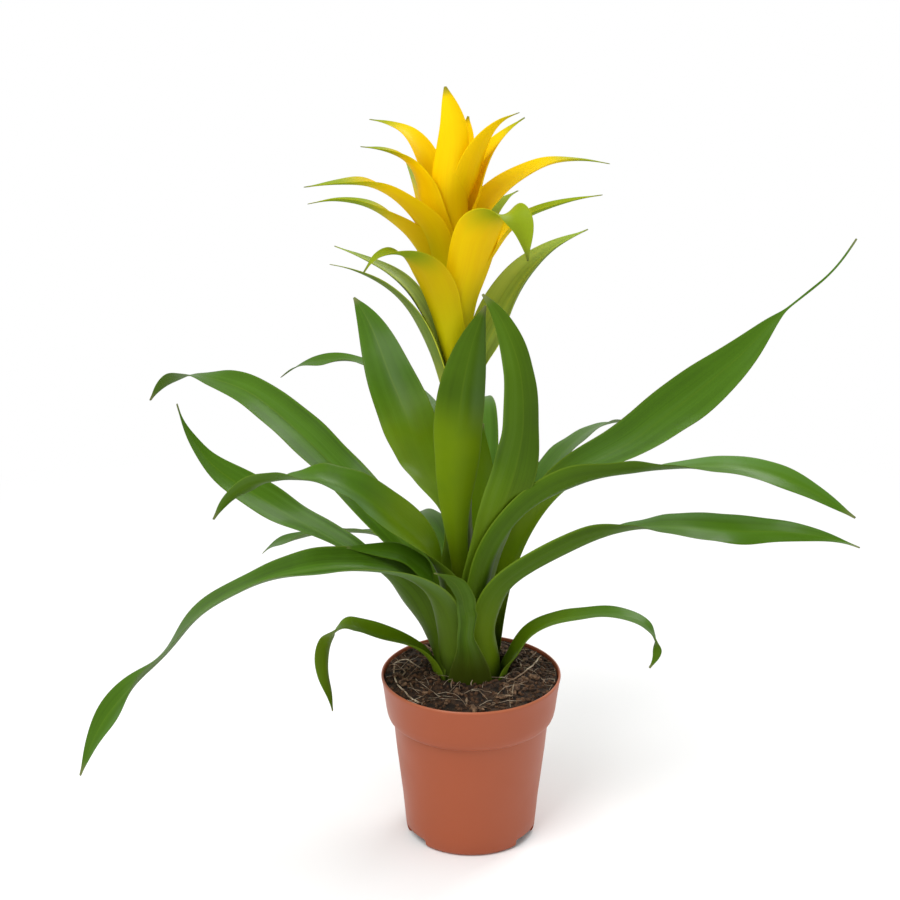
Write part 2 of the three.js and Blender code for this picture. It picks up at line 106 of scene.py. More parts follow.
# Loose litter: the size of a lump in millimetres, its width and flatness as shares of that, the
# seeds of its variants, the radii in millimetres between which the copies lie, how far they tilt in
# radians, the smallest and largest scale, how high they sit in millimetres, and a finish as above
LITTER = (
    dict(
        name="peat_crumbs", count="crumbs", size=2.0, width=0.75, flatness=0.7, seeds=(1, 2, 3, 4),
        radii=(19.3, 42.2), tilt=1.5, scales=(0.35, 1.35), lift=0.2,
        finish=("peat_crumb", (0.02, 0.010, 0.005), (0.17, 0.082, 0.038), 420.0),
    ),
    dict(
        name="bark_chips", count="chips", size=5.0, width=0.6, flatness=0.22, seeds=(11, 12, 13),
        radii=(22, 39.5), tilt=0.6, scales=(0.5, 1.25), lift=0.6,
        finish=("bark", (0.045, 0.022, 0.011), (0.34, 0.20, 0.11), 500.0),
    ),
    dict(
        name="pale_slivers", count="slivers", size=7.0, width=0.13, flatness=0.1, seeds=(21, 22, 23),
        radii=(21, 38.5), tilt=0.35, scales=(0.5, 1.3), lift=0.9,
        finish=("pale_sliver", (0.07, 0.04, 0.022), (0.42, 0.29, 0.18), 300.0, 0.7),
    ),
)
LUMP_UNEVENNESS = 0.3
LUMP_WIDTHS = (0.8, 1.2)

# Coir fibres, in millimetres: the radius of a strand of thickness 1, and between what the place,
# length, hump and thickness of a fibre are drawn. The bend is in radians, to either side.
STRAND_RADIUS = 0.11
FIBRE_STEPS = 8
FIBRE_RADII = (20, 38)
FIBRE_LENGTHS = (7, 24)
FIBRE_BEND = 1.3
FIBRE_HUMPS = (0.2, 1.8)
FIBRE_LIFT = 0.35
FIBRE_REACH = 42.4
FIBRE_THICKNESSES = (0.55, 1.1)

# Pale roots and shoots on the mix, as ((x, y, height over it), ...) in millimetres and how many
# times as thick as a strand they are
LONG_ROOTS = (
    (((-38.4, 12, 0.5), (-38.4, -3, 0.9), (-36.5, -12, 0.5), (-33.1, -20.3, 0.8), (-29, -28, 0.4),
      (-24, -33.5, 0.2)), 4.0),
    (((-39, 11, 0.5), (-36, 13, 1.5), (-32.4, 10.6, 1.8), (-25.5, -1.3, 0.6)), 3.0),
    (((18, -17, 0.6), (25, -9, 1.4), (31, 2, 2.2), (35.5, 14, 3.2)), 3.4),
    (((-9.5, -23, -1), (-10, -22.6, 2), (-9.2, -22.2, 4.4)), 2.0),
    (((0.5, -23.4, -1), (-0.2, -23, 2.2), (0.6, -22.5, 4.0)), 1.7),
)
ROOT_STEPS = 22

# Flower stem in millimetres, with rings along it
STEM_FOOT = 86
STEM_STEPS = 60
RING_SPACING = 17
RING_SWELL = 0.35
RING_WIDTH = 1.6
STEM_RADIUS = 3.9
STEM_TOP_RADIUS = 1.8
TAPER_START = 200
TAPER_END = 336
STEM_TIP = 338
STEM_TIP_RADIUS = 0.6
STEM_SIDES = 40
LEAN_START = 84
LEAN = math.radians(2.44)

# Blades, in millimetres: their thickness and gap where they clasp, the width of a tip, the rings
# in which the leaves stand, and the lengths of the waves in their margins
EDGE = 0.65
GAP = 0.3
TIP_WIDTH = 1.2
FIRST_RING = 6.6
RING_STEP = 1.05
FOOT_RISE = 10
LONG_WAVE = 46
SHORT_WAVE = 27
SHORT_WAVE_SHARE = 0.6
WAVE_AT_MARGIN = 2.2

# Thickness of a margin and ripple of a bract, as shares of a leaf's
MARGIN_THICKNESS = 0.35
BRACT_RIPPLE = 0.5

# Shares of a blade's length: between the first two its path passes from its midrib to the middle of
# its depth, it stays folded until the third and opens over the fourth, it is thickest between the
# next two, and its ripples and its crease have a (start, rise, fall)
CENTRED_FROM = 0.25
CENTRED_BY = 0.5
FOLDED_UNTIL = 0.3
OPENING = 0.35
THICK_BY = 0.3
THIN_FROM = 0.75
RIPPLE_SPAN = (0.35, 0.2, 0.15)
CREASE_SPAN = (0.12, 0.25, 0.1)

# Stage, in metres, with the sensor's width in millimetres. The floor glows like an overexposed
# backdrop, more and more between two distances from the pot's axis.
FLOOR_SIZE = 16
GLOW_FROM = 0.08
GLOW_BY = 0.6
CAMERA_PLACE = (-0.0105, -1.0, 0.5735)
CAMERA_AIM = (-0.0105, 0, 0.205)
SENSOR_WIDTH = 36
LIGHT_AIM = (0, 0, 0.18)
KEY_PLACE = (-0.55, -0.65, 1.35)
KEY_SIZE = 0.9
BACK_PLACE = (0.6, 0.9, 1.1)
BACK_SIZE = 0.8
BACK_SHARE = 0.6

# Finish of the blades: the scale of the veins across one, the strength of their ridges and how high
# they are in metres, how much a bract shines, and the share of light that comes through
LEAF_VEINS = 60.0
LEAF_RIDGES = (0.4, 0.25 * MM)
LEAF_GLOW = 0.12
BRACT_VEINS = 34.0
BRACT_RIDGES = (0.3, 0.2 * MM)
BRACT_SHINE = 0.1
BRACT_GLOW = 0.4

# Colours that no setting holds
HEART_SHADE = (0.028, 0.027, 0.001)
DRY_LEAF_TIP = (0.24, 0.22, 0.10)
DRY_BRACT_TIP = (0.13, 0.14, 0.05)
# Painted shade on the stem low in the crown
STEM_HOLLOW_SHADE = (0.04, 0.028, 0.005)
YOUNG_STEM = (0.07, 0.10, 0.008)
# Painted highlight along the top of the pot's lip
LIP_HIGHLIGHT = (0.7, 0.36, 0.2)

# Leaves. Width and foot are in millimetres, and waist is a share of the width. Waist_at, widest and
# close are the shares of the length at which the waist, the widest place and the end of the taper
# lie. The larger point is, the longer the tip tapers. Fold, at the foot, and channel, further up, are
# half the angle in radians through which the blade bends across. Roll turns it about its length, as
# (share of the length, degrees), and ease evens out its path.
# Tone runs from -1, darker, to 1, paler. Youth is how yellow-green a leaf still is below the share
# ripe of its length, partly the paler colour of new growth and partly painted light shining
# through it, and dark is how much painted shade lies on its foot. A negative bloom paints light on
# the half towards the higher azimuth and shade on the other, and a positive one the other way round.
# Paths are (out, up) or (out, up, side) in millimetres from the pot's axis, in the plane of the
# azimuth, which is in degrees from the right, anticlockwise seen from above: 270 is the front.
LEAF_SHAPE = dict(
    width=26, foot=26, waist=0.76, waist_at=0.2, widest=0.55, point=1.2, close=1, channel=0.42,
    fold=0.8, crease=0.55, roll=((0, 0),), ease=8, tone=0.0, youth_and_backlight=0.0, yellow_until=0.5, dark=0.0, lit_half=0.0,
)
LEAVES = (
    dict(
        node="leaf_front_upright", ring=0, azimuth=270, width=26, foot=9, waist=0.36, waist_at=0.32,
        widest=0.7, point=1.0, channel=0.6, fold=0.6, crease=0.3, tone=-0.1, youth_and_backlight=1.0, yellow_until=0.72,
        dark=1.0, lit_half=-1.0,
        path=((9.5, 143, -5), (13, 176, -8), (14, 190, -8), (15, 206, -7), (16, 221, -7),
              (16, 230, -6), (17, 241, -5), (17, 261, -1), (17, 272, 2), (18, 283, 6)),
    ),
    dict(
        node="leaf_back_upright", ring=1, azimuth=80, width=22, foot=19, waist=0.75, tone=1.0,
        youth_and_backlight=0.6, yellow_until=1.0,
        path=((9.6, 117), (14.5, 143), (21, 170, -1), (26, 193, -1), (28, 209, -1)),
    ),
    dict(
        node="leaf_right_upright", ring=2, azimuth=305, width=22, foot=30, waist=1.1, waist_at=0.25,
        point=0.8, roll=((0.3, 0), (0.46, -14), (0.57, -40), (0.7, -8), (0.8, -8), (0.9, -35)),
        tone=0.1, youth_and_backlight=0.6, yellow_until=0.52, lit_half=0.4,
        path=((11, 130, -2), (24, 172, -3), (27, 181, -4), (36, 204, -1), (39, 217, -1), (40, 227),
              (40, 239), (39, 249), (36, 260), (32, 269, -1), (28, 278, -3), (24, 284, -5),
              (19, 289, -8)),
    ),
    dict(
        node="leaf_back_thin", ring=3, azimuth=95, width=15, foot=18, widest=0.7, point=0.8,
        roll=((0.2, 0), (0.5, 48), (0.66, 36), (0.76, 8), (0.88, -40)), youth_and_backlight=0.4,
        path=((12, 118), (26, 147, -1), (45, 171, -2), (63, 191, 5), (77, 205, 16), (89, 213, 30),
              (100, 217, 41), (112, 217, 54), (123, 213, 67), (132, 209, 77), (137, 205, 83),
              (140, 198, 90)),
    ),
    dict(
        node="leaf_left_upright", ring=4, azimuth=120, width=29, foot=24, waist=0.7, widest=0.6,
        point=0.9, roll=((0.2, 0), (0.38, 29), (0.49, 9), (0.55, -3), (0.66, -30)), tone=-0.4,
        youth_and_backlight=0.7, yellow_until=0.66,
        path=((13.6, 111), (20.5, 131), (30, 157, -6), (39, 169, -5), (46, 176, -3), (54, 186, -1),
              (67, 205), (80, 219, 1), (93, 234, 1), (107, 244), (121, 251)),
    ),
    dict(
        node="leaf_right_long", ring=6, azimuth=35, width=28, foot=24, waist=0.56, waist_at=0.22,
        widest=0.56, point=1.1, close=0.83,
        roll=((0.15, 0), (0.45, 22), (0.65, 45), (1, 30)), tone=0.7, youth_and_backlight=0.8, yellow_until=0.32,
        path=((15.7, 107), (20, 127), (28, 147), (39, 164), (51, 175), (64, 181), (101, 189),
              (120, 196, 2), (138, 203, 2), (157, 212, 2), (172, 219, 2), (183, 227, 1), (192, 233, 2),
              (200, 239, 1), (212, 245), (226, 251), (240, 259), (252, 272)),
    ),
    dict(
        node="leaf_left_high", ring=6, azimuth=145, width=27, foot=28, point=1.0,
        roll=((0.15, 0), (0.35, -28), (0.5, -13), (0.78, -12), (0.86, 15), (0.93, 42)), tone=-0.2,
        path=((14.4, 105), (20, 121), (30, 135), (43, 147), (56, 158), (90, 183), (116, 198),
              (141, 209), (156, 210), (170, 211), (187, 208), (202, 199), (209, 189)),
    ),
    dict(
        node="leaf_right_arch", ring=5, azimuth=325, width=24, foot=28, waist=0.9, widest=0.62,
        point=1.0, fold=1.25, tone=0.8, lit_half=-1.0, youth_and_backlight=0.5, yellow_until=0.2,
        roll=((0, 0), (0.15, -4), (0.35, -6), (0.5, -35), (0.59, -29), (0.66, -16), (0.75, 3),
              (0.82, 11), (0.91, 26), (1, 40)),
        path=((11.8, 108, -3.5), (11.6, 126, -7), (15, 141, -9), (19.4, 156, -10.8), (24, 167, -10),
              (29.7, 178, -8.5), (36.3, 187.5, -4), (45.4, 194.8, 3.7), (55.2, 200, 11.8),
              (72.6, 203, 24), (91, 205.8, 34.4), (112, 207.8, 44), (131.4, 205.8, 53),
              (151, 198.7, 60.5), (165.7, 189.3, 67), (170.5, 186.2, 69)),
    ),
    dict(
        node="leaf_left_middle", ring=7, azimuth=222, width=27, foot=32, waist=0.9, point=1.0,
        lit_half=-1.0, fold=1.25, tone=0.8, youth_and_backlight=0.75, yellow_until=0.55,
        roll=((0.2, 0), (0.46, -52), (0.61, -47), (0.7, -26), (0.78, 6), (0.84, 38), (0.91, 80),
              (1, 110)),
        path=((16.5, 105, 1), (18.8, 127, 3), (24.5, 147, 4), (34, 166, 5), (42, 176, 4), (55, 188, 2),
              (67, 199, 1), (78, 207, -1), (87, 212, -3), (97, 214, -7), (112, 215, -14),
              (118, 214, -18), (124, 210, -22), (129, 206, -25), (133, 196, -29)),
    ),
    dict(
        node="leaf_back_right", ring=7, azimuth=60, width=20, foot=22, tone=0.2,
        roll=((0.2, 0), (0.5, -20)),
        path=((17.5, 104), (26, 125), (44, 147), (74, 166.5), (100, 174), (124, 176), (145, 174),
              (170, 168), (195, 159)),
    ),
    dict(
        node="leaf_front_short", ring=8, azimuth=238, width=16, foot=26, point=1.0,
        roll=((0.4, 0), (0.65, -60), (0.8, -52), (1, -55)), tone=0.2,
        path=((18.3, 102, 1), (22.6, 122, 1), (27, 137, 1), (34, 149, 0), (43, 160, -4), (50, 167, -9),
              (58, 170, -15), (65, 172, -21), (70, 173, -27)),
    ),
    dict(
        node="leaf_back_left_thin", ring=8, azimuth=132, width=15, foot=18, widest=0.65, point=0.8,
        roll=((0.2, 0), (0.4, 20), (0.69, 10), (0.9, -30)), tone=0.2,
        path=((18, 102), (26, 117), (45, 133), (68, 140), (92, 135), (119, 126), (136, 118), (150, 112),
              (161, 106), (171, 97)),
    ),
    dict(
        node="leaf_right_low", ring=8, azimuth=328, width=25, foot=30, waist=0.88,
        lit_half=-0.6, fold=1.1, youth_and_backlight=0.7, yellow_until=0.2,
        roll=((0, 0), (0.12, -5), (0.22, -18), (0.46, -25), (0.55, -14), (0.62, 3), (0.71, 19),
              (0.8, 38), (0.9, 42), (1, 10)), tone=0.2,
        path=((14.8, 111, -7.3), (18.4, 126, -9.7), (23, 138, -10.3), (29.7, 146, -7.4),
              (37.3, 152.7, -1.4), (44.5, 158.5, 4.2), (50, 162.3, 9), (57.7, 167.6, 15),
              (66.6, 170.7, 20.4), (74.7, 173, 25.4), (92, 175, 31.5), (112, 174.5, 39),
              (125.6, 175, 43), (139, 176.4, 48), (150, 176.6, 51), (166.5, 174.8, 58),
              (176.7, 171.4, 61)),
    ),
    dict(
        node="leaf_left_droop", ring=9, azimuth=225, width=26, foot=32, waist=0.95, widest=0.6,
        point=1.0, lit_half=-0.7, fold=1.15, tone=-0.1,
        roll=((0.15, 0), (0.33, -20), (0.43, -13), (0.56, 25), (0.77, 48), (0.9, -14)),
        path=((19.6, 102, 3), (25.5, 120, 6), (33, 138, 8), (45, 151, 8), (58, 161, 5), (74, 167),
              (87, 170, -6), (99, 170, -12), (110, 168, -20), (120, 164, -27), (129, 158, -34),
              (137, 153, -40), (143, 144, -45), (147, 135, -49), (152, 128, -53), (161, 116, -62),
              (169, 101, -71), (174, 92, -75), (177, 82, -78), (181, 66, -82)),
    ),
    dict(
        node="leaf_back_arch", ring=9, azimuth=88, width=25, foot=24, tone=0.1,
        path=((20.6, 106), (33, 127), (54, 154), (82, 177), (115, 190), (145, 182), (163, 165)),
    ),
    dict(
        node="leaf_left_low", ring=10.3, azimuth=178, width=25, foot=30, waist=1.05, point=1.4,
        roll=((0.04, 0), (0.13, 28), (0.23, 46), (0.45, 0), (0.8, -38), (0.9, -26)),
        path=((20, 102), (25.5, 115), (36, 132), (49, 145), (63, 155.5), (75, 162.5), (89, 170),
              (101, 178), (112, 185), (122, 192), (130, 200), (135, 208), (139, 215), (142, 227)),
    ),
    dict(
        node="leaf_back_low", ring=10.4, azimuth=106, width=20, foot=20, tone=-0.1,
        path=((21.7, 101), (31, 117), (52, 132), (82, 138), (110, 130), (127, 112)),
    ),
    dict(
        node="leaf_left_small", ring=11.7, azimuth=195, width=15, foot=20, waist=0.9, point=1.0,
        roll=((0.2, 0), (0.4, -16), (0.52, -8), (0.6, 25), (0.66, 48), (1, 45)), tone=0.9,
        youth_and_backlight=0.55, yellow_until=0.9,
        path=((21.2, 95.3), (26.5, 102), (46, 113), (54, 117), (61, 120), (66, 120), (69, 118),
              (73, 114, -1), (75, 107, -1), (75, 98), (74, 90), (72, 82), (71, 74)),
    ),
    dict(
        node="leaf_right_small", ring=11, azimuth=345, width=15, foot=22, waist=0.9, point=1.0,
        roll=((0.1, 10), (0.2, 26), (0.42, 8), (0.6, -3), (0.8, 3), (0.86, -15), (0.93, -85)), tone=0.6,
        youth_and_backlight=0.4, yellow_until=0.5,
        path=((22, 97), (30, 111), (45, 121), (58, 125), (67, 127), (77, 127), (85, 125), (90, 121),
              (93, 115), (94, 110), (93, 105), (90, 100)),
    ),
    dict(
        node="leaf_front_fold", ring=12, azimuth=268, width=13, foot=26, waist=0.66, waist_at=0.48,
        widest=0.75, roll=((0.55, 0), (0.68, -38), (0.78, -25), (0.88, 0)), tone=-0.6, dark=0.7,
        path=((23, 99), (28.5, 113, -1), (31, 119, -2), (36, 132, -1), (41, 142, -2), (46, 150, -3),
              (50, 158, -7), (55, 164, -16)),
    ),
)

# Bract paths are measured from the point where the flower stem starts to lean. Green is how much
# of the bract, from its tip, is still green.
BRACT_SHAPE = dict(
    width=21, foot=13, waist=0.85, waist_at=0.25, widest=0.45, point=1.45, close=1, channel=0.7,
    fold=0.7, crease=0.15, roll=((0, 0),), ease=2, green=0.2, tone=0.0, lit_half=0.0,
)
BRACT_RISE = ((0, 0), (0.9, 5), (2.8, 14), (7, 32))
STEM_BRACTS = (
    dict(
        node="stem_bract_right", azimuth=25, foot=14, width=27, channel=1.4, crease=0.6, up=132,
        tone=0.3, lit_half=-1.0, roll=((0.1, 0), (0.3, 14.5)),
        path=((17, 174), (24, 189), (35, 203), (51, 214), (72, 220)),
    ),
    dict(
        node="stem_bract_left", azimuth=190, width=17, up=138, tone=-0.8, roll=((0, 10),),
        path=((17, 187), (25, 200), (35, 209), (48, 216), (58, 219)),
    ),
    dict(
        node="stem_bract_back", azimuth=95, width=17, up=144, tone=-0.8,
        path=((17, 190), (26, 202), (40, 212), (58, 218)),
    ),
    dict(
        node="stem_bract_upper_left", azimuth=165, width=17, up=150, tone=-0.8,
        path=((19, 198), (30, 209), (44, 216), (58, 221)),
    ),
)
FLOWER_BRACTS = (
    dict(
        node="flower_bract_01", azimuth=235, up=158, width=26, foot=16, green=0.42, tone=-0.6,
        path=((16, 207), (24, 220), (38, 229), (52, 232), (62, 231), (68, 227)),
    ),
    dict(
        node="flower_bract_02", azimuth=288, up=165, width=26, foot=16, widest=0.6,
        point=1.3, green=0.36, tone=0.1,
        path=((14.5, 212, 3), (20, 228, 5), (27, 241, 9), (37, 246, 16), (42, 241, 20),
              (44, 232, 21), (43, 223, 22)),
    ),
    dict(
        node="flower_bract_03", azimuth=58, up=171, green=0.4, tone=-0.2,
        path=((18, 219), (32, 230), (48, 234), (62, 235)),
    ),
    dict(
        node="flower_bract_04", azimuth=350, up=176, width=20, green=0.45,
        roll=((0.1, 0), (0.3, 25), (0.7, 0)),
        path=((18, 219.5), (25, 229.5), (34, 237), (45, 241.5), (58, 245), (71, 247)),
    ),
    dict(
        node="flower_bract_05", azimuth=175, up=181, width=26, green=0.4, tone=-0.2,
        roll=((0.1, 0), (0.3, 40), (0.75, 10)),
        path=((16, 226), (25, 235), (38, 243.5), (54, 246), (67, 244)),
    ),
    dict(
        node="flower_bract_06", azimuth=115, up=186, green=0.35, tone=-0.2,
        path=((17, 234), (27, 245), (40, 252), (55, 256)),
    ),
    dict(
        node="flower_bract_07", azimuth=215, up=191, width=26, green=0.3,
        roll=((0.1, 0), (0.25, 12), (0.6, 0)),
        path=((16, 238), (28, 251), (43, 260), (59, 263), (78, 264)),
    ),
    dict(
        node="flower_bract_08", azimuth=20, up=196, width=20, waist=0.75, green=0.25,
        roll=((0.1, 0), (0.25, 18), (0.7, 0)),
        path=((16, 239), (24, 246.5), (35, 252.5), (50, 257), (66, 256), (81, 252)),
    ),
    dict(
        node="flower_bract_09", azimuth=84, up=201, waist=0.7, green=0.25,
        path=((14.5, 246), (25, 260), (40, 267)),
    ),
    dict(
        node="flower_bract_10", azimuth=200, up=206, width=24, green=0.25, tone=0.2,
        roll=((0.1, 0), (0.25, 17), (0.8, 0)),
        path=((12.5, 254), (19.5, 266), (29.5, 271.5), (42, 274.5)),
    ),
    dict(
        node="flower_bract_11", azimuth=5, up=211, width=21, foot=16, green=0.15, tone=0.3,
        roll=((0.1, 0), (0.3, 17)),
        path=((14, 257), (20, 268), (28, 276), (36, 281)),
    ),
    dict(
        node="flower_bract_12", azimuth=150, up=216, width=22, green=0.2, tone=0.2,
        path=((12.5, 263), (21, 275), (31, 278.5), (42, 279.5)),
    ),
    dict(
        node="flower_bract_13", azimuth=330, up=221, width=23, foot=17, green=0.12, tone=0.4,
        roll=((0.2, 0), (0.4, -8)),
        path=((14.5, 266), (21, 277), (29, 284), (38, 288)),
    ),
    dict(
        node="flower_bract_14", azimuth=75, up=226, width=19, point=1.0, green=0.0, tone=0.6,
        path=((12.5, 271, -5), (14, 281, -6.5)),
    ),
    dict(
        node="flower_bract_15", azimuth=270, up=222, width=18.5, foot=18, waist=1.0, point=0.8,
        cap=0.8, green=0.03, tone=0.3,
        path=((10, 280, 3), (7.5, 299, 0)),
    ),
)

# Starts of the random draws for the ripples of the first blade of each kind
LEAF_SEED = 100
STEM_BRACT_SEED = 300
FLOWER_BRACT_SEED = 400


class GuzmaniaBladeSettings(bpy.types.PropertyGroup):
    """Sizes and colours of the leaves and bracts"""

    leaf_rows: IntProperty(
        name="Leaf rows", description="Faces along a leaf before smoothing", default=72, min=12
    )
    bract_rows: IntProperty(
        name="Bract rows", description="Faces along a bract before smoothing", default=40, min=8
    )
    columns: IntProperty(
        name="Columns", description="Faces across a blade before smoothing", default=8, min=4
    )
    thickness: FloatProperty(
        name="Thickness", description="Thickness along the middle of a blade",
        default=0.8 * MM, unit="LENGTH", precision=5,
    )
    ripple: FloatProperty(
        name="Ripple", description="How far the margins of a leaf wave",
        default=0.35 * MM, unit="LENGTH", precision=5,
    )
    leaf_color: FloatVectorProperty(
        name="Leaf", description="Upper side of a leaf", subtype="COLOR",
        default=(0.050, 0.124, 0.003), min=0, max=1,
    )
    leaf_foot_color: FloatVectorProperty(
        name="Leaf foot", description="Pale foot of a leaf", subtype="COLOR",
        default=(0.090, 0.145, 0.008), min=0, max=1,
    )
    leaf_under_color: FloatVectorProperty(
        name="Leaf underside", description="Underside of a leaf", subtype="COLOR",
        default=(0.054, 0.113, 0.003), min=0, max=1,
    )
    # Partly the colour of new growth, partly painted light shining through a leaf's lower part
    young_and_backlit_color: FloatVectorProperty(
        name="Young leaf", description="Lower half of the youngest leaves", subtype="COLOR",
        default=(0.15, 0.24, 0.001), min=0, max=1,
    )
    stem_bract_color: FloatVectorProperty(
        name="Stem bract", description="Upper side of a stem bract", subtype="COLOR",
        default=(0.30, 0.42, 0.06), min=0, max=1,
    )
    stem_bract_under_color: FloatVectorProperty(
        name="Stem bract underside", description="Underside of a stem bract", subtype="COLOR",
        default=(0.15, 0.23, 0.03), min=0, max=1,
    )
    stem_bract_foot_color: FloatVectorProperty(
        name="Stem bract foot", description="Pale foot of a stem bract", subtype="COLOR",
        default=(0.50, 0.53, 0.03), min=0, max=1,
    )
    bract_color: FloatVectorProperty(
        name="Bract", description="Upper part of a flower bract", subtype="COLOR",
        default=(0.95, 0.745, 0.001), min=0, max=1,
    )
    bract_foot_color: FloatVectorProperty(
        name="Bract foot", description="Olive foot of a flower bract", subtype="COLOR",
        default=(0.75, 0.69, 0.003), min=0, max=1,
    )
    bract_tip_color: FloatVectorProperty(
        name="Bract tip", description="Green tip of a flower bract", subtype="COLOR",
        default=(0.33, 0.43, 0.015), min=0, max=1,
    )


class GuzmaniaPotSettings(bpy.types.PropertyGroup):
    """Sizes and colours of the pot"""

    sides: IntProperty(name="Sides", description="Faces round the pot", default=180, min=48)
    color: FloatVectorProperty(
        name="Plastic", description="Colour of the plastic", subtype="COLOR",
        default=(0.345, 0.072, 0.021), min=0, max=1,
    )


class GuzmaniaMixSettings(bpy.types.PropertyGroup):
    """What lies on the potting mix"""

    sides: IntProperty(name="Sides", description="Faces round the root ball", default=220, min=36)
    lump: FloatProperty(
        name="Lumps", description="Height of the lumps in the surface", default=3.0 * MM,
        unit="LENGTH", precision=4,
    )
    crumbs: IntProperty(name="Crumbs", description="Crumbs of peat on the surface", default=1100)
    chips: IntProperty(name="Chips", description="Bark chips on the surface", default=70)
    slivers: IntProperty(name="Slivers", description="Pale slivers of bark and old leaf", default=45)
    fibres: IntProperty(name="Fibres", description="Coir fibres on the surface", default=70)
    seed: IntProperty(name="Seed", description="Start of the random draws", default=7)


class GuzmaniaStageSettings(bpy.types.PropertyGroup):
    """Floor, light and camera"""

    floor_color: FloatVectorProperty(
        name="Floor", description="Colour of the floor", subtype="COLOR",
        default=(0.9, 0.9, 0.9), min=0, max=1,
    )
    sky: FloatProperty(name="Surround", description="Strength of the white surround", default=0.7)
    key: FloatProperty(
        name="Key light", description="Power of the large light at the upper left",
        default=17.0, unit="POWER",
    )
    lens: FloatProperty(name="Lens", description="Focal length in millimetres", default=88.4)


class Graph:
    """Adds nodes to a shader tree and joins them, left to right"""

    def __init__(self, tree):
        self.tree = tree
        self.column = 0

    def add(self, kind, **settings):
        node = self.tree.nodes.new(kind)
        node.location = (self.column, 0)
        self.column += 180
        for name, value in settings.items():
            setattr(node, name, value)
        return node

    def feed(self, socket, value):
        """Links another node's output to the socket, or sets a constant on it"""
        if isinstance(value, bpy.types.NodeSocket):
            self.tree.links.new(value, socket)
        elif hasattr(socket.default_value, "__len__") and len(value) < len(socket.default_value):
            socket.default_value = (*value, 1)
        else:
            socket.default_value = value

    def math(self, operation, first, second=0.0):
        node = self.add("ShaderNodeMath", operation=operation)
        self.feed(node.inputs[0], first)
        self.feed(node.inputs[1], second)
        return node.outputs[0]

    def times(self, first, second):
        return self.math("MULTIPLY", first, second)

    def mix(self, factor, first, second, blend="MIX"):
        node = self.add("ShaderNodeMix", data_type="RGBA", blend_type=blend)
        self.feed(node.inputs["Factor"], factor)
        self.feed(node.inputs["A"], first)
        self.feed(node.inputs["B"], second)
        return node.outputs["Result"]

    def remap(self, value, low, high, new_low=0.0, new_high=1.0):
        """A smooth step from one new value to the other while the value runs from low to high"""
        node = self.add("ShaderNodeMapRange", interpolation_type="SMOOTHSTEP", clamp=True)
        for socket, number in zip(node.inputs, (value, low, high, new_low, new_high)):
            self.feed(socket, number)
        return node.outputs[0]

    def noise(self, vector, scale, detail=2.0, roughness=0.5):
        node = self.add("ShaderNodeTexNoise")
        self.feed(node.inputs["Vector"], vector)
        self.feed(node.inputs["Scale"], scale)
        self.feed(node.inputs["Detail"], detail)
        self.feed(node.inputs["Roughness"], roughness)
        return node.outputs["Fac"]

    def vector(self, x, y, z):
        node = self.add("ShaderNodeCombineXYZ")
        for socket, value in zip(node.inputs, (x, y, z)):
            self.feed(socket, value)
        return node.outputs[0]

    def attribute(self, name):
        return self.add("ShaderNodeAttribute", attribute_name=name).outputs["Fac"]

    def bump(self, height, strength, distance):
        node = self.add("ShaderNodeBump")
        self.feed(node.inputs["Height"], height)
        self.feed(node.inputs["Strength"], strength)
        self.feed(node.inputs["Distance"], distance)
        return node.outputs[0]

    def group(self, tree, **values):
        """Adds a group, sets its inputs by name and gives its outputs"""
        node = self.add("ShaderNodeGroup", node_tree=tree)
        for name, value in values.items():
            self.feed(node.inputs[name.replace("_", " ").capitalize()], value)
        return node.outputs


def new_group(name, inputs, outputs):
    """A shader group with the given sockets, and its graph, group input and group output"""
    tree = bpy.data.node_groups.new(name, "ShaderNodeTree")
    for socket, kind in inputs:
        tree.interface.new_socket(name=socket, in_out="INPUT", socket_type=kind)
    for socket, kind in outputs:
        tree.interface.new_socket(name=socket, in_out="OUTPUT", socket_type=kind)
    graph = Graph(tree)
    source = graph.add("NodeGroupInput")
    return tree, graph, source.outputs, graph.add("NodeGroupOutput").inputs


def long_veins():
    """Streaks and fine ridges along a blade, from its UV map"""
    if "Long veins" in bpy.data.node_groups:
        return bpy.data.node_groups["Long veins"]
    number, vector = "NodeSocketFloat", "NodeSocketVector"
    tree, graph, source, target = new_group(
        "Long veins",
        (("Place", vector), ("Veins", number), ("Seed", number)),
        (("Streaks", number), ("Bands", number), ("Ridges", number)),
    )
    place = graph.add("ShaderNodeSeparateXYZ")
    graph.feed(place.inputs[0], source["Place"])
    across, along = place.outputs["X"], place.outputs["Y"]
    wide = graph.vector(graph.times(across, 6.5), graph.times(along, 1.1),
                        graph.times(source["Seed"], 17.0))
    fine = graph.vector(graph.times(across, source["Veins"]),
                        graph.times(along, 1.3), source["Seed"])
    calm = graph.remap(along, 0.4, 0.85)
    even = (0.5, 0.5, 0.5)
    bands = graph.mix(graph.times(calm, 0.6), graph.noise(wide, 1.0, 3.0), even)
    graph.feed(target["Bands"], bands)
    graph.feed(target["Streaks"], graph.mix(0.45, bands, graph.mix(calm, graph.noise(fine, 1.0), even)))
    graph.feed(target["Ridges"], graph.mix(calm, graph.noise(fine, 1.0, 1.0), even))
    return tree


def patches():
    """Soft patches over a surface, from Object coordinates"""
    if "Patches" in bpy.data.node_groups:
        return bpy.data.node_groups["Patches"]
    number = "NodeSocketFloat"
    tree, graph, source, target = new_group(
        "Patches", (("Scale", number), ("Detail", number), ("Low", number), ("High", number)),
        (("Mask", number),),
    )
    place = graph.add("ShaderNodeTexCoord").outputs["Object"]
    noise = graph.noise(place, source["Scale"], source["Detail"])
    graph.feed(target["Mask"], graph.remap(noise, source["Low"], source["High"]))
    return tree


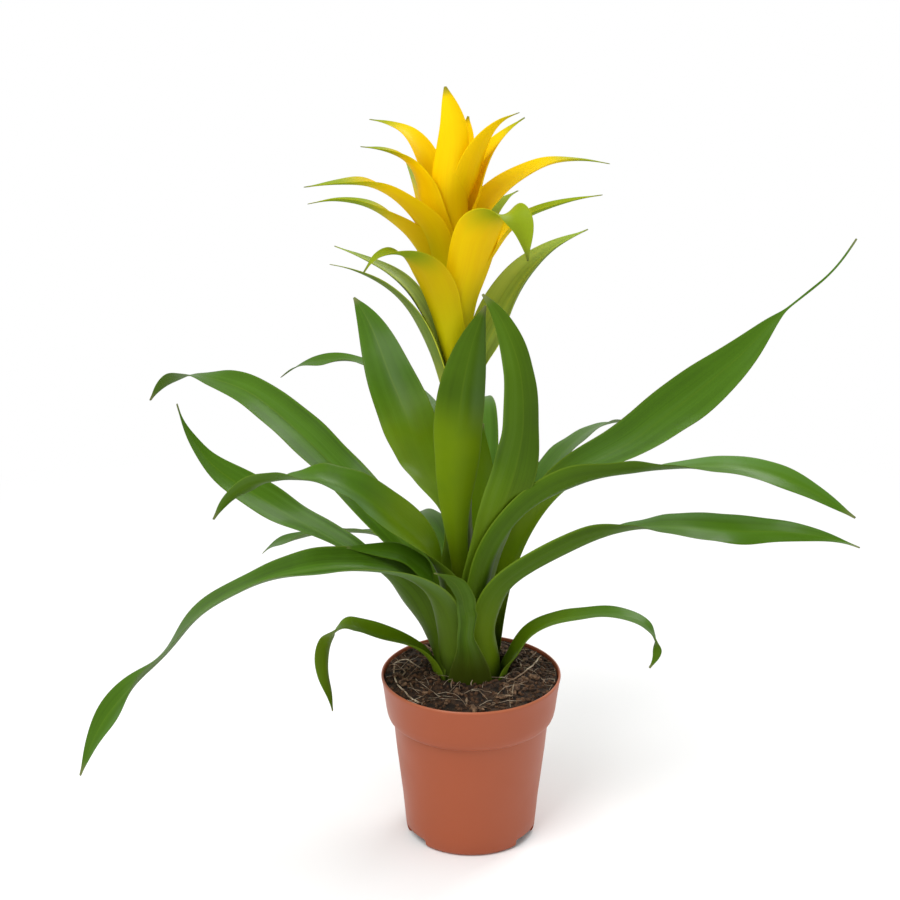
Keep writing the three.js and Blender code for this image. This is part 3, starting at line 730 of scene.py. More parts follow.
def new_material(name):
    """An empty material with its Principled shader, and its graph"""
    material = bpy.data.materials.new(name)
    material.use_nodes = True
    material.node_tree.nodes.clear()
    graph = Graph(material.node_tree)
    output = graph.add("ShaderNodeOutputMaterial")
    shader = graph.add("ShaderNodeBsdfPrincipled")
    graph.feed(output.inputs["Surface"], shader.outputs[0])
    return material, graph, shader.inputs


def mix_in(graph, shader, share):
    """Gives a share of the material's surface to a second shader"""
    output = next(node for node in graph.tree.nodes if node.type == "OUTPUT_MATERIAL")
    front = output.inputs["Surface"].links[0].from_socket
    both = graph.add("ShaderNodeMixShader")
    graph.feed(both.inputs[0], share)
    graph.feed(both.inputs[1], front)
    graph.feed(both.inputs[2], shader)
    graph.feed(output.inputs["Surface"], both.outputs[0])


def let_light_through(graph, color, share):
    """Mixes in light that comes through a thin blade from behind"""
    through = graph.add("ShaderNodeBsdfTranslucent")
    graph.feed(through.inputs["Color"], color)
    mix_in(graph, through.outputs[0], share)


def set_flesh(shader, weight, radius):
    """Light that travels through living tissue"""
    shader["Subsurface Weight"].default_value = weight
    shader["Subsurface Radius"].default_value = radius
    shader["Subsurface Scale"].default_value = 2.5 * MM


def split_place(graph, place):
    """Where a UV place is across the blade, how far from the nearer margin, and how far along"""
    parts = graph.add("ShaderNodeSeparateXYZ")
    graph.feed(parts.inputs[0], place)
    off_middle = graph.math("ABSOLUTE", graph.math("SUBTRACT", parts.outputs["X"], 0.5))
    return parts.outputs["X"], graph.math("SUBTRACT", 0.5, off_middle), parts.outputs["Y"]


def shade(color, factor):
    """The colour, darker or brighter"""
    return tuple(min(1.0, channel * factor) for channel in color)


def vein_color(graph, veins, body):
    """Fine streaks and soft pale bands along a leaf"""
    color = graph.mix(graph.remap(veins["Streaks"], 0.34, 0.66), shade(body, 0.58), shade(body, 1.42))
    bands = graph.times(graph.remap(veins["Bands"], 0.5, 0.72), 0.55)
    return graph.mix(bands, color, (body[0] * 1.7, body[1] * 1.35, body[2] + 0.03))


def paint_lit_and_shaded_halves(graph, color, across, along, body, half_shade):
    """Paints pale light on one half of a blade and darker shade on the other"""
    side = graph.times(graph.math("SUBTRACT", across, 0.5), graph.attribute("lit_half"))
    where = graph.times(graph.remap(along, 0.12, 0.28), graph.remap(along, 0.6, 0.95, 0.7, 0.2))
    # Painted light: the lit half turns pale
    painted_light = (min(0.8, body[0] * 2.6), min(0.9, body[1] * 2.1), body[2] + 0.09)
    color = graph.mix(graph.times(graph.remap(side, 0.12, 0.3), where), color, painted_light)
    # Painted shade: the other half turns darker
    painted_shade = graph.times(graph.remap(side, -0.2, -0.02, half_shade, 0.0), where)
    return graph.mix(painted_shade, color, shade(body, 0.4))


def add_tone(graph, color, tone, from_edge, body, foot):
    """Makes a whole leaf darker or paler; its pale midrib is partly a painted highlight"""
    color = graph.mix(graph.remap(tone, -1.0, -0.5, 0.45, 0.0), color, shade(body, 0.3))
    # Pale midrib: partly the rib's own colour, partly a painted highlight along the channel
    color = graph.mix(graph.remap(from_edge, 0.47, 0.498, 0.0, 0.4), color, shade(foot, 1.25))
    return graph.mix(graph.remap(tone, -1.0, 1.0, 0.0, 0.5), color, shade(body, 1.6))


def add_youth_and_backlight(graph, color, along, young_and_backlit):
    """Turns a leaf's lower part yellow-green: partly new growth, partly painted backlight"""
    youth_and_backlight = graph.attribute("youth_and_backlight")
    yellow_until = graph.attribute("yellow_until")
    soft = graph.math("ADD", graph.times(youth_and_backlight, -0.10), 0.17)
    low, high = graph.math("SUBTRACT", yellow_until, soft), graph.math("ADD", yellow_until, soft)
    return graph.mix(graph.times(youth_and_backlight, graph.remap(along, low, high, 1.0, 0.0)), color, young_and_backlit)


def finish_blade(graph, shader, color, veins, gloss, shine, ridges, glow):
    """Gives a blade its colour, its gloss, its ridges and the light that comes through it"""
    graph.feed(shader["Base Color"], color)
    graph.feed(shader["Roughness"], graph.remap(veins["Streaks"], 0.2, 0.8, gloss, gloss + 0.12))
    shader["Specular IOR Level"].default_value = shine
    graph.feed(shader["Normal"], graph.bump(veins["Ridges"], *ridges))
    let_light_through(graph, color, glow)


def leaf_material(name, body, foot, young_and_backlit, gloss, shine, coat, half_shade):
    """One side of a leaf: pale foot, darker body, streaks, a fine pale margin"""
    material, graph, shader = new_material(name)
    place = graph.add("ShaderNodeUVMap", uv_map="UVMap").outputs[0]
    tone = graph.attribute("tone")
    veins = graph.group(long_veins(), place=place, veins=LEAF_VEINS, seed=tone)
    across, from_edge, along = split_place(graph, place)
    color = vein_color(graph, veins, body)
    color = paint_lit_and_shaded_halves(graph, color, across, along, body, half_shade)
    color = add_tone(graph, color, tone, from_edge, body, foot)
    color = graph.mix(graph.remap(along, 0.05, 0.36, 0.85, 0.0), color, foot)
    # Yellow-green lower part: new growth and painted light coming through the leaf
    color = add_youth_and_backlight(graph, color, along, young_and_backlit)
    blotch = graph.group(patches(), scale=70.0, detail=3.0, low=0.35, high=0.75)["Mask"]
    color = graph.mix(graph.times(blotch, 0.25), color, shade(body, 1.5))
    margin = graph.times(graph.remap(from_edge, 0.012, 0.05, 0.75, 0.0),
                         graph.remap(along, 0.3, 0.6, 1.0, 0.35))
    color = graph.mix(margin, color, shade(foot, 1.7))
    heart = graph.times(graph.attribute("dark"), graph.remap(along, 0.16, 0.48, 0.95, 0.0))
    color = graph.mix(heart, color, HEART_SHADE)
    color = graph.mix(graph.remap(along, 0.03, 0.09, 0.7, 0.0), color, shade(foot, 0.2))
    color = graph.mix(graph.remap(along, 0.965, 1.0, 0.0, 0.6), color, DRY_LEAF_TIP)
    shader["Coat Weight"].default_value = coat
    shader["Coat Roughness"].default_value = 0.24
    finish_blade(graph, shader, color, veins, gloss, shine, LEAF_RIDGES, LEAF_GLOW)
    return material


def bract_material(name, body, foot, tip, gloss):
    """One side of a flower bract: olive foot, yellow body, green tip"""
    material, graph, shader = new_material(name)
    place = graph.add("ShaderNodeUVMap", uv_map="UVMap").outputs[0]
    tone = graph.attribute("tone")
    veins = graph.group(long_veins(), place=place, veins=BRACT_VEINS, seed=tone)
    _, from_edge, along = split_place(graph, place)
    olive = (body[0] * 0.80, body[1] * 0.82, body[2])
    flesh = graph.mix(graph.remap(tone, -0.9, 0.2), olive, body)
    deep = graph.mix(1.0, flesh, (0.96, 0.90, 1, 1), "MULTIPLY")
    color = graph.mix(graph.remap(veins["Streaks"], 0.3, 0.72), deep, flesh)
    unripe = graph.times(graph.remap(along, 0.16, 0.5, 1.0, 0.0),
                         graph.remap(tone, 0.0, 0.35, 1.0, 0.15))
    color = graph.mix(unripe, color, foot)
    wander = graph.times(veins["Streaks"], 0.14)
    tip_start = graph.math("SUBTRACT", 1.0, graph.attribute("green"))
    past = graph.math("SUBTRACT", graph.math("ADD", along, wander), tip_start)
    color = graph.mix(graph.remap(past, 0.0, 0.24), color, tip)
    color = graph.mix(graph.remap(along, 0.93, 1.0, 0.0, 0.6), color, DRY_BRACT_TIP)
    color = graph.mix(graph.remap(from_edge, 0.0, 0.03, 0.3, 0.0), color, shade(body, 1.1))
    finish_blade(graph, shader, color, veins, gloss, BRACT_SHINE, BRACT_RIDGES, BRACT_GLOW)
    return material


def stem_material(settings):
    """Mottled stem skin: painted dark brown shade low in the crown, green where the bracts begin"""
    material, graph, shader = new_material("stem_skin")
    mask = graph.group(patches(), scale=260.0, detail=3.0, low=0.35, high=0.7)["Mask"]
    color = graph.mix(mask, tuple(settings.leaf_foot_color), tuple(settings.bract_foot_color))
    place = graph.add("ShaderNodeSeparateXYZ")
    graph.feed(place.inputs[0], graph.add("ShaderNodeTexCoord").outputs["Object"])
    color = graph.mix(graph.remap(place.outputs["Z"], 0.18, 0.24), YOUNG_STEM, color)
    # Painted shade: the stem turns dark brown low in the hollow of the crown
    color = graph.mix(graph.remap(place.outputs["Z"], 0.12, 0.15), STEM_HOLLOW_SHADE, color)
    graph.feed(shader["Base Color"], color)
    shader["Roughness"].default_value = 0.5
    graph.feed(shader["Normal"], graph.bump(mask, 0.3, 0.2 * MM))
    return material


def plastic_material(settings):
    """Moulded plastic: faint mottling, an orange-peel skin and a painted highlight along the lip"""
    material, graph, shader = new_material("terracotta_plastic")
    body = tuple(settings.color)
    mottle = graph.group(patches(), scale=30.0, detail=3.0, low=0.25, high=0.8)["Mask"]
    skin = graph.group(patches(), scale=1100.0, detail=2.0, low=0.2, high=0.8)["Mask"]
    color = graph.mix(graph.times(mottle, 0.3), body, shade(body, 0.88))
    place = graph.add("ShaderNodeSeparateXYZ")
    graph.feed(place.inputs[0], graph.add("ShaderNodeTexCoord").outputs["Object"])
    # Painted highlight: the top of the lip turns paler where it would catch the light
    lip = graph.remap(place.outputs["Z"], 0.0852, 0.0862, 0.0, 0.12)
    graph.feed(shader["Base Color"], graph.mix(lip, color, LIP_HIGHLIGHT))
    graph.feed(shader["Roughness"], graph.remap(mottle, 0.0, 1.0, 0.4, 0.48))
    shader["Specular IOR Level"].default_value = 0.4
    graph.feed(shader["Normal"], graph.bump(skin, 0.1, 0.08 * MM))
    set_flesh(shader, 0.05, (1.0, 0.4, 0.2))
    return material


def litter_material(name, dark, light, scale, roughness=0.85):
    """Peat, bark or fibre: broken colour and a rough grain"""
    material, graph, shader = new_material(name)
    broad = graph.group(patches(), scale=scale, detail=4.0, low=0.35, high=0.7)["Mask"]
    grain = graph.group(patches(), scale=scale * 7, detail=5.0, low=0.3, high=0.75)["Mask"]
    color = graph.mix(broad, dark, light)
    color = graph.mix(graph.times(grain, 0.5), color, dark)
    graph.feed(shader["Base Color"], color)
    shader["Roughness"].default_value = roughness
    shader["Specular IOR Level"].default_value = 0.3
    graph.feed(shader["Normal"], graph.bump(grain, 0.7, 0.4 * MM))
    return material


def deselect_all():
    """Leaves edit mode and selects nothing"""
    if bpy.context.object and bpy.context.object.mode != "OBJECT":
        bpy.ops.object.mode_set(mode="OBJECT")
    bpy.ops.object.select_all(action="DESELECT")


def make_active(piece):
    deselect_all()
    piece.select_set(True)
    bpy.context.view_layer.objects.active = piece


def apply_modifiers(piece):
    make_active(piece)
    for modifier in list(piece.modifiers):
        bpy.ops.object.modifier_apply(modifier=modifier.name)


def settle(piece, name, slot, *nodes):
    """Puts the piece's place in its mesh, names it and hands it to the frame"""
    make_active(piece)
    bpy.ops.object.transform_apply(location=True, rotation=True, scale=True)
    piece.name = name
    piece.data.name = name
    piece.data.polygons.foreach_set("use_smooth", [True] * len(piece.data.polygons))
    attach(piece, "root")
    if nodes:
        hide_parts(*nodes)


def raise_rings(profile, sides):
    """A turned solid: a disc extruded and scaled through each (radius, height), in millimetres"""
    deselect_all()
    (radius, height), *rest = profile
    bpy.ops.mesh.primitive_circle_add(
        vertices=sides, radius=radius * MM, fill_type="NGON", location=(0, 0, height * MM)
    )
    piece = bpy.context.object
    bpy.ops.object.transform_apply(location=True)
    bpy.ops.object.mode_set(mode="EDIT")
    bpy.ops.mesh.select_all(action="SELECT")
    for wider, higher in rest:
        move = (0, 0, (higher - height) * MM)
        bpy.ops.mesh.extrude_region_move(TRANSFORM_OT_translate={"value": move})
        ratio = wider / radius
        bpy.ops.transform.resize(value=(ratio, ratio, 1), center_override=(0, 0, higher * MM))
        radius, height = wider, higher
    bpy.ops.mesh.select_all(action="SELECT")
    bpy.ops.mesh.normals_make_consistent(inside=False)
    bpy.ops.object.mode_set(mode="OBJECT")
    return piece


def vertex_array(piece):
    points = np.empty(len(piece.data.vertices) * 3)
    piece.data.vertices.foreach_get("co", points)
    return points.reshape(-1, 3)


def place_vertices(piece, points):
    piece.data.vertices.foreach_set("co", np.asarray(points, float).ravel())
    piece.data.update()


def smooth(value):
    """0 below 0, 1 above 1 and a smooth step between"""
    value = np.clip(value, 0.0, 1.0)
    return value * value * (3 - 2 * value)


def lerp(first, second, share):
    return first + (second - first) * share


def stem_radius(height):
    """Radius of the flower stem at a height, in millimetres"""
    share = smooth((height - TAPER_START) / (TAPER_END - TAPER_START))
    return lerp(STEM_RADIUS, STEM_TOP_RADIUS, share)


def crown_height(radius):
    """Height of the crown's sloping top at a radius, in millimetres"""
    share = (radius - CROWN_TOP_RADIUS) / (CROWN_RADIUS - CROWN_TOP_RADIUS)
    return lerp(CROWN_TOP_HEIGHT, CROWN_RIM_HEIGHT, share)


def spline(points, steps=24):
    """A centripetal Catmull-Rom curve through the points, densely sampled"""
    points = np.asarray(points, float)
    ends = (2 * points[0] - points[1], 2 * points[-1] - points[-2])
    hull = np.vstack((ends[0], points, ends[1]))
    knots = np.sqrt(np.linalg.norm(np.diff(hull, axis=0), axis=1))
    share = np.linspace(0, 1, steps, endpoint=False)[:, None]
    curve = []
    for i in range(len(points) - 1):
        before, start, end, after = hull[i:i + 4]
        a, b, c = knots[i:i + 3]
        leave = b * ((start - before) / a - (end - before) / (a + b) + (end - start) / b)
        arrive = b * ((end - start) / b - (after - start) / (b + c) + (after - end) / c)
        curve.append(
            start + leave * share + (3 * (end - start) - 2 * leave - arrive) * share ** 2
            + (2 * (start - end) + leave + arrive) * share ** 3
        )
    return np.vstack((*curve, points[-1:]))


def even_steps(curve, count):
    """The curve at count + 1 places that are evenly spaced along it"""
    walked = np.concatenate(((0,), np.cumsum(np.linalg.norm(np.diff(curve, axis=0), axis=1))))
    at = np.linspace(0, walked[-1], count + 1)
    return np.stack([np.interp(at, walked, curve[:, axis]) for axis in range(3)], axis=1)


def ease(line, rounds):
    """Evens out a line's small wobbles and keeps its ends"""
    for _ in range(rounds):
        line[1:-1] = (line[:-2] + 2 * line[1:-1] + line[2:]) / 4
    return line


def swell(t, start, rise, fall):
    """Rises from 0 to 1 after a share of the length and falls back to 0 at the tip"""
    return smooth((t - start) / rise) * smooth((1 - t) / fall)


def half_widths(t, shape):
    """Half the blade's width at each share of its length: foot, waist, widest place, tip"""
    full = shape["width"] / 2
    low = lerp(shape["foot"] / 2, shape["waist"] * full, smooth(t / shape["waist_at"]))
    rise = smooth((t - shape["waist_at"]) / (shape["widest"] - shape["waist_at"]))
    middle = full * lerp(shape["waist"], 1, rise)
    x = np.clip((t - shape["widest"]) / (shape["close"] - shape["widest"]), 0, 1)
    high = np.maximum(TIP_WIDTH / 2, full * (1 - x) ** shape["point"] * (1 + shape["point"] * x))
    return np.where(t < shape["waist_at"], low, np.where(t < shape["widest"], middle, high))


def roll_angles(t, keys):
    """How far the blade is rolled about its length, in radians, between keys given in degrees"""
    at, angles = zip(*keys)
    result = np.full_like(t, angles[0])
    for (low, high), (first, last) in zip(zip(at, at[1:]), zip(angles, angles[1:])):
        share = smooth((t - low) / (high - low))
        result = np.where(t > low, lerp(first, last, share), result)
    return np.radians(result)


def cross_frames(line, aside, roll):
    """Unit vectors across the blade and out of its upper face, at each step of the line"""
    along = np.gradient(line, axis=0)
    along /= np.linalg.norm(along, axis=1)[:, None]
    flat = aside - along * (along @ aside)[:, None]
    flat /= np.linalg.norm(flat, axis=1)[:, None]
    face = np.cross(along, flat)
    across = flat * np.cos(roll)[:, None] + face * np.sin(roll)[:, None]
    return across, np.cross(along, across)


def blade_points(shape, path, rows, columns, ripple, draw):
    """The middle surface of a blade in millimetres, a row of points for each step along it"""
    azimuth = math.radians(shape["azimuth"])
    out = np.array((math.cos(azimuth), math.sin(azimuth), 0))
    aside = np.array((-math.sin(azimuth), math.cos(azimuth), 0))
    marks = [
        out * mark[0] + aside * (mark[2] if len(mark) > 2 else 0) + np.array((0, 0, mark[1]))
        for mark in path
    ]
    line = ease(even_steps(spline(marks), rows), shape["ease"])
    t = np.linspace(0, 1, rows + 1)
    across, normal = cross_frames(line, aside, roll_angles(t, shape["roll"]))
    half = half_widths(t, shape)
    wrap = np.minimum(shape.get("cap", math.pi), half / np.hypot(line[:, 0], line[:, 1]))
    channel = lerp(shape["fold"], shape["channel"], smooth((t - FOLDED_UNTIL) / OPENING))
    bend = np.maximum(channel, wrap)
    radius = half / bend
    dip = smooth((t - CENTRED_FROM) / (CENTRED_BY - CENTRED_FROM)) * radius * (1 - np.cos(bend)) / 2
    length = np.linalg.norm(np.diff(line, axis=0), axis=1).sum()
    grid = np.empty((rows + 1, columns + 1, 3))
    phase = [draw.uniform(0, 2 * math.pi) for _ in range(4)]
    reach = swell(t, *RIPPLE_SPAN)
    crease = shape["crease"] * swell(t, *CREASE_SPAN)
    for column in range(columns + 1):
        s = 1 - 2 * column / columns
        angle = s * bend
        side = phase[0] if s > 0 else phase[1]
        wave = np.sin(2 * math.pi * t * length / LONG_WAVE + side) + SHORT_WAVE_SHARE * np.sin(
            2 * math.pi * t * length / SHORT_WAVE + side * 2 + phase[2]
        )
        round_lift = radius * (1 - np.cos(angle))
        sharp_lift = radius * (1 - np.cos(bend)) * abs(s)
        rippled = ripple * wave * reach * abs(s) ** WAVE_AT_MARGIN
        lift = lerp(round_lift, sharp_lift, crease) - dip + rippled
        grid[:, column] = line + across * (radius * np.sin(angle))[:, None] + normal * lift[:, None]
    return grid


def model_blade(shape, path, rows, columns, thickness, ripple, materials, draw):
    """A blade: a grid laid along its path, given thickness and smoothed"""
    deselect_all()
    bpy.ops.mesh.primitive_grid_add(x_subdivisions=columns, y_subdivisions=rows, size=1)
    piece = bpy.context.object
    grid = blade_points(shape, path, rows, columns, ripple / MM, draw)
    place_vertices(piece, grid.reshape(-1, 3) * MM)
    body = piece.vertex_groups.new(name="body")
    for row in range(rows + 1):
        t = row / rows
        full = float(smooth(t / THICK_BY) * (1 - smooth((t - THIN_FROM) / (1 - THIN_FROM))))
        for column in range(columns + 1):
            s = 1 - 2 * column / columns
            body.add([row * (columns + 1) + column], full * (1 - s * s), "REPLACE")
    for material in materials:
        piece.data.materials.append(material)
    solid = piece.modifiers.new("Thickness", "SOLIDIFY")
    solid.thickness = thickness
    solid.offset = 0
    solid.vertex_group = body.name
    solid.thickness_vertex_group = MARGIN_THICKNESS
    solid.material_offset = 1
    solid.material_offset_rim = 1
    finer = piece.modifiers.new("Smooth", "SUBSURF")
    finer.levels = 1
    finer.render_levels = 1
    apply_modifiers(piece)
    piece.vertex_groups.clear()
    return piece


def set_attribute(piece, name, value):
    """Gives every vertex the same value, for the material to read"""
    layer = piece.data.attributes.new(name, "FLOAT", "POINT")
    layer.data.foreach_set("value", [value] * len(piece.data.vertices))


def leaf_path(shape):
    """The leaf's path from its foot on the crown, in its own ring"""
    ring = FIRST_RING + RING_STEP * shape["ring"]
    foot = crown_height(ring - EDGE / 2) + GAP
    return ((ring, foot), (ring + 0.4, foot + FOOT_RISE), *shape["path"])


def bract_path(shape):
    """The bract's path from its foot, which clasps the flower stem"""
    clasp = stem_radius(LEAN_START + shape["up"]) + GAP + EDGE
    return (*((clasp + out, shape["up"] + rise) for out, rise in BRACT_RISE), *shape["path"])


def lean_flower(piece):
    """Stands a piece of the flower on the crown and leans it as the flower stem leans"""
    piece.matrix_world = Matrix.Translation((0, 0, LEAN_START * MM)) @ Matrix.Rotation(-LEAN, 4, "Y")


class GUZMANIA_OT_pot(bpy.types.Operator):
    """Builds the pot, with its collar, rim and drain notches"""

    bl_idname = "guzmania.pot"
    bl_label = "Pot"

    def execute(self, context):
        settings = context.scene.guzmania_pot
        piece = raise_rings((*POT_OUTER, *POT_INNER), settings.sides)
        for azimuth in NOTCH_AZIMUTHS:
            self.cut_notch(piece, math.radians(azimuth))
        softer = piece.modifiers.new("Soften", "BEVEL")
        softer.width = EDGE_ROUNDING * MM
        softer.segments = 2
        softer.limit_method = "ANGLE"
        softer.angle_limit = math.radians(SHARP_EDGE)
        apply_modifiers(piece)
        piece.data.materials.append(plastic_material(settings))
        settle(piece, "nursery_pot", "pot", "pot")
        make_active(piece)
        bpy.ops.object.shade_smooth_by_angle(angle=math.radians(SMOOTH_UP_TO))
        return {"FINISHED"}

    def cut_notch(self, piece, azimuth):
        """Cuts a rounded drain notch into the foot of the pot"""
        depth, width, height = NOTCH_SIZE
        middle = (NOTCH_INNER_RADIUS + depth / 2) * MM
        deselect_all()
        bpy.ops.mesh.primitive_cube_add(
            size=1, location=(middle * math.cos(azimuth), middle * math.sin(azimuth), 0),
            rotation=(0, 0, azimuth), scale=(depth * MM, width * MM, 2 * height * MM),
        )
        block = bpy.context.object
        rounding = block.modifiers.new("Round", "BEVEL")
        rounding.width = NOTCH_ROUNDING * MM
        rounding.segments = 4
        apply_modifiers(block)
        cut = piece.modifiers.new("Notch", "BOOLEAN")
        cut.operation = "DIFFERENCE"
        cut.object = block
        apply_modifiers(piece)
        bpy.data.objects.remove(block)


def litter_height(ball, x, y):
    """The height of the potting mix or of the crown under a place, in metres"""
    radius = math.hypot(x, y) / MM
    if radius < MIX_INNER_RADIUS:
        return (MIX_LEVEL + MIX_MOUND) * MM
    found, place, _, _ = ball.ray_cast(Vector((x, y, ABOVE_MIX * MM)), Vector((0, 0, -1)))
    return place.z if found else MIX_LEVEL * MM


def scatter(name, prototypes, places, material):
    """Copies of the prototypes, each with its own mesh, joined into one piece"""
    copies = []
    for prototype, matrix in places:
        copy = prototypes[prototype].copy()
        copy.data = prototypes[prototype].data.copy()
        copy.matrix_world = matrix
        bpy.context.scene.collection.objects.link(copy)
        copies.append(copy)
    for prototype in prototypes:
        bpy.data.objects.remove(prototype)
    deselect_all()
    for copy in copies:
        copy.select_set(True)
    bpy.context.view_layer.objects.active = copies[0]
    bpy.ops.object.join()
    piece = bpy.context.object
    piece.data.materials.clear()
    piece.data.materials.append(material)
    settle(piece, name, "potting_mix")


def rough_lump(kind, seed):
    """One variant of a kind of litter: an uneven lump, flattened"""
    deselect_all()
    bpy.ops.mesh.primitive_ico_sphere_add(subdivisions=2, radius=kind["size"] * MM / 2)
    lump = bpy.context.object
    draw = random.Random(seed)
    points = vertex_array(lump)
    stretch = np.array([[1 + draw.uniform(-LUMP_UNEVENNESS, LUMP_UNEVENNESS)] for _ in points])
    width = kind["width"] * draw.uniform(*LUMP_WIDTHS)
    place_vertices(lump, points * stretch * (1, width, kind["flatness"]))
    return lump


def random_place(draw, low, high):
    """A place on the mix between two radii in millimetres, evenly spread, in metres"""
    radius = math.sqrt(draw.uniform(low ** 2, high ** 2)) * MM
    azimuth = draw.uniform(0, 2 * math.pi)
    return radius * math.cos(azimuth), radius * math.sin(azimuth)


class GUZMANIA_OT_mix(bpy.types.Operator):
    """Builds the root ball with its lumpy top, and the crumbs, chips and fibres that lie on it"""

    bl_idname = "guzmania.mix"
    bl_label = "Potting mix"

    def execute(self, context):
        settings = context.scene.guzmania_mix
        ball = self.model_ball(settings)
        settle(ball, "root_ball", "potting_mix", "potting_mix")
        draw = random.Random(settings.seed)
        for kind in LITTER:
            self.add_litter(ball, kind, getattr(settings, kind["count"]), draw)
        self.add_fibres(ball, settings.fibres, draw)
        return {"FINISHED"}

    def model_ball(self, settings):
        """The root ball: turned, with a lumpy top that is level at the pot's wall"""
        rings = [
            (lerp(MIX_EDGE, MIX_INNER_RADIUS, inward), MIX_LEVEL + MIX_MOUND * float(smooth(inward)))
            for inward in (ring / MIX_RINGS for ring in range(MIX_RINGS + 1))
        ]
        ball = raise_rings((*MIX_SIDE, *rings, *PIT), settings.sides)
        top = ball.vertex_groups.new(name="top")
        for vertex in ball.data.vertices:
            radius = math.hypot(vertex.co.x, vertex.co.y) / MM
            if vertex.co.z > MIX_LEVEL * MM - 1e-5:
                share = float(smooth((MIX_EDGE - radius) / MIX_EDGE_FADE))
                top.add([vertex.index], share, "REPLACE")
        for size, strength in LUMPS:
            clouds = bpy.data.textures.new(f"lumps_{size}", "CLOUDS")
            clouds.noise_scale = size * MM
            clouds.noise_depth = 2
            shove = ball.modifiers.new("Lumps", "DISPLACE")
            shove.texture = clouds
            shove.direction = "Z"
            shove.strength = settings.lump * strength
            shove.mid_level = 0.5
            shove.vertex_group = top.name
        apply_modifiers(ball)
        ball.vertex_groups.clear()
        ball.data.materials.append(litter_material(*PEAT))
        return ball

    def add_litter(self, ball, kind, count, draw):
        """Scatters copies of one kind of litter over the mix"""
        variants = [rough_lump(kind, seed) for seed in kind["seeds"]]
        places = []
        for _ in range(count):
            x, y = random_place(draw, *kind["radii"])
            z = litter_height(ball, x, y) + kind["lift"] * MM
            turn = Matrix.Rotation(draw.uniform(0, 2 * math.pi), 4, "Z")
            lean = Matrix.Rotation(draw.uniform(-kind["tilt"], kind["tilt"]), 4, "X")
            size = Matrix.Scale(draw.uniform(*kind["scales"]), 4)
            matrix = Matrix.Translation((x, y, z)) @ turn @ lean @ size
            places.append((draw.randrange(len(variants)), matrix))
        scatter(kind["name"], variants, places, litter_material(*kind["finish"]))

    def add_fibres(self, ball, count, draw):
        """Adds thin curled fibres, and the pale roots and shoots"""
        curve = bpy.data.curves.new("fibres", "CURVE")
        curve.dimensions = "3D"
        curve.bevel_depth = STRAND_RADIUS * MM
        curve.bevel_resolution = 1
        curve.use_fill_caps = True
        for _ in range(count):
            points = self.fibre_points(ball, draw)
            self.add_strand(curve, points, draw.uniform(*FIBRE_THICKNESSES))
        for marks, thickness in LONG_ROOTS:
            line = even_steps(spline(np.array(marks) * MM), ROOT_STEPS)
            line[:, 2] += [litter_height(ball, x, y) for x, y, _ in line]
            self.add_strand(curve, line, thickness)
        piece = bpy.data.objects.new("fibres", curve)
        bpy.context.scene.collection.objects.link(piece)
        make_active(piece)
        bpy.ops.object.convert(target="MESH")
        piece = bpy.context.object
        piece.data.materials.clear()
        piece.data.materials.append(litter_material(*COIR))
        settle(piece, "coir_fibres", "potting_mix")

    def fibre_points(self, ball, draw):
        """The line of one fibre: bent sideways, humped, and kept inside the rim"""
        x, y = random_place(draw, *FIBRE_RADII)
        heading = draw.uniform(0, 2 * math.pi)
        length = draw.uniform(*FIBRE_LENGTHS) * MM
        bend = draw.uniform(-FIBRE_BEND, FIBRE_BEND)
        hump = draw.uniform(*FIBRE_HUMPS) * MM
        limit = FIBRE_REACH * MM
        points = []
        for step in range(FIBRE_STEPS + 1):
            share = step / FIBRE_STEPS
            turned = heading + bend * (share - 0.5)
            x += math.cos(turned) * length / FIBRE_STEPS
            y += math.sin(turned) * length / FIBRE_STEPS
            reach = math.hypot(x, y)
            if reach > limit:
                x, y = x * limit / reach, y * limit / reach
            z = litter_height(ball, x, y) + FIBRE_LIFT * MM + hump * math.sin(math.pi * share)
            points.append((x, y, z))
        return points

    def add_strand(self, curve, points, thickness):
        """Adds a strand to the curve, its thickness given in multiples of the curve's own"""
        strand = curve.splines.new("POLY")
        strand.points.add(len(points) - 1)
        for knot, place in zip(strand.points, points):
            knot.co = (*place, 1)
            knot.radius = thickness


class GUZMANIA_OT_stem(bpy.types.Operator):
    """Builds the crown and the flower stem that leans out of it"""

    bl_idname = "guzmania.stem"
    bl_label = "Crown and flower stem"

    def execute(self, context):
        shaft = []
        for height in np.linspace(STEM_FOOT, TAPER_END, STEM_STEPS):
            from_ring = (height - STEM_FOOT) % RING_SPACING - RING_SPACING / 2
            ring = RING_SWELL * math.exp(-(from_ring / RING_WIDTH) ** 2)
            shaft.append((float(stem_radius(height)) + ring, float(height)))
        piece = raise_rings((*ROOTSTOCK, *shaft, (STEM_TIP_RADIUS, STEM_TIP)), STEM_SIDES)
        points = vertex_array(piece)
        rise = np.maximum(0, points[:, 2] - LEAN_START * MM)
        points[:, 0] -= math.tan(LEAN) * rise
        place_vertices(piece, points)
        piece.data.materials.append(stem_material(context.scene.guzmania_blades))
        settle(piece, "flower_stem", "stem", "stem")
        return {"FINISHED"}


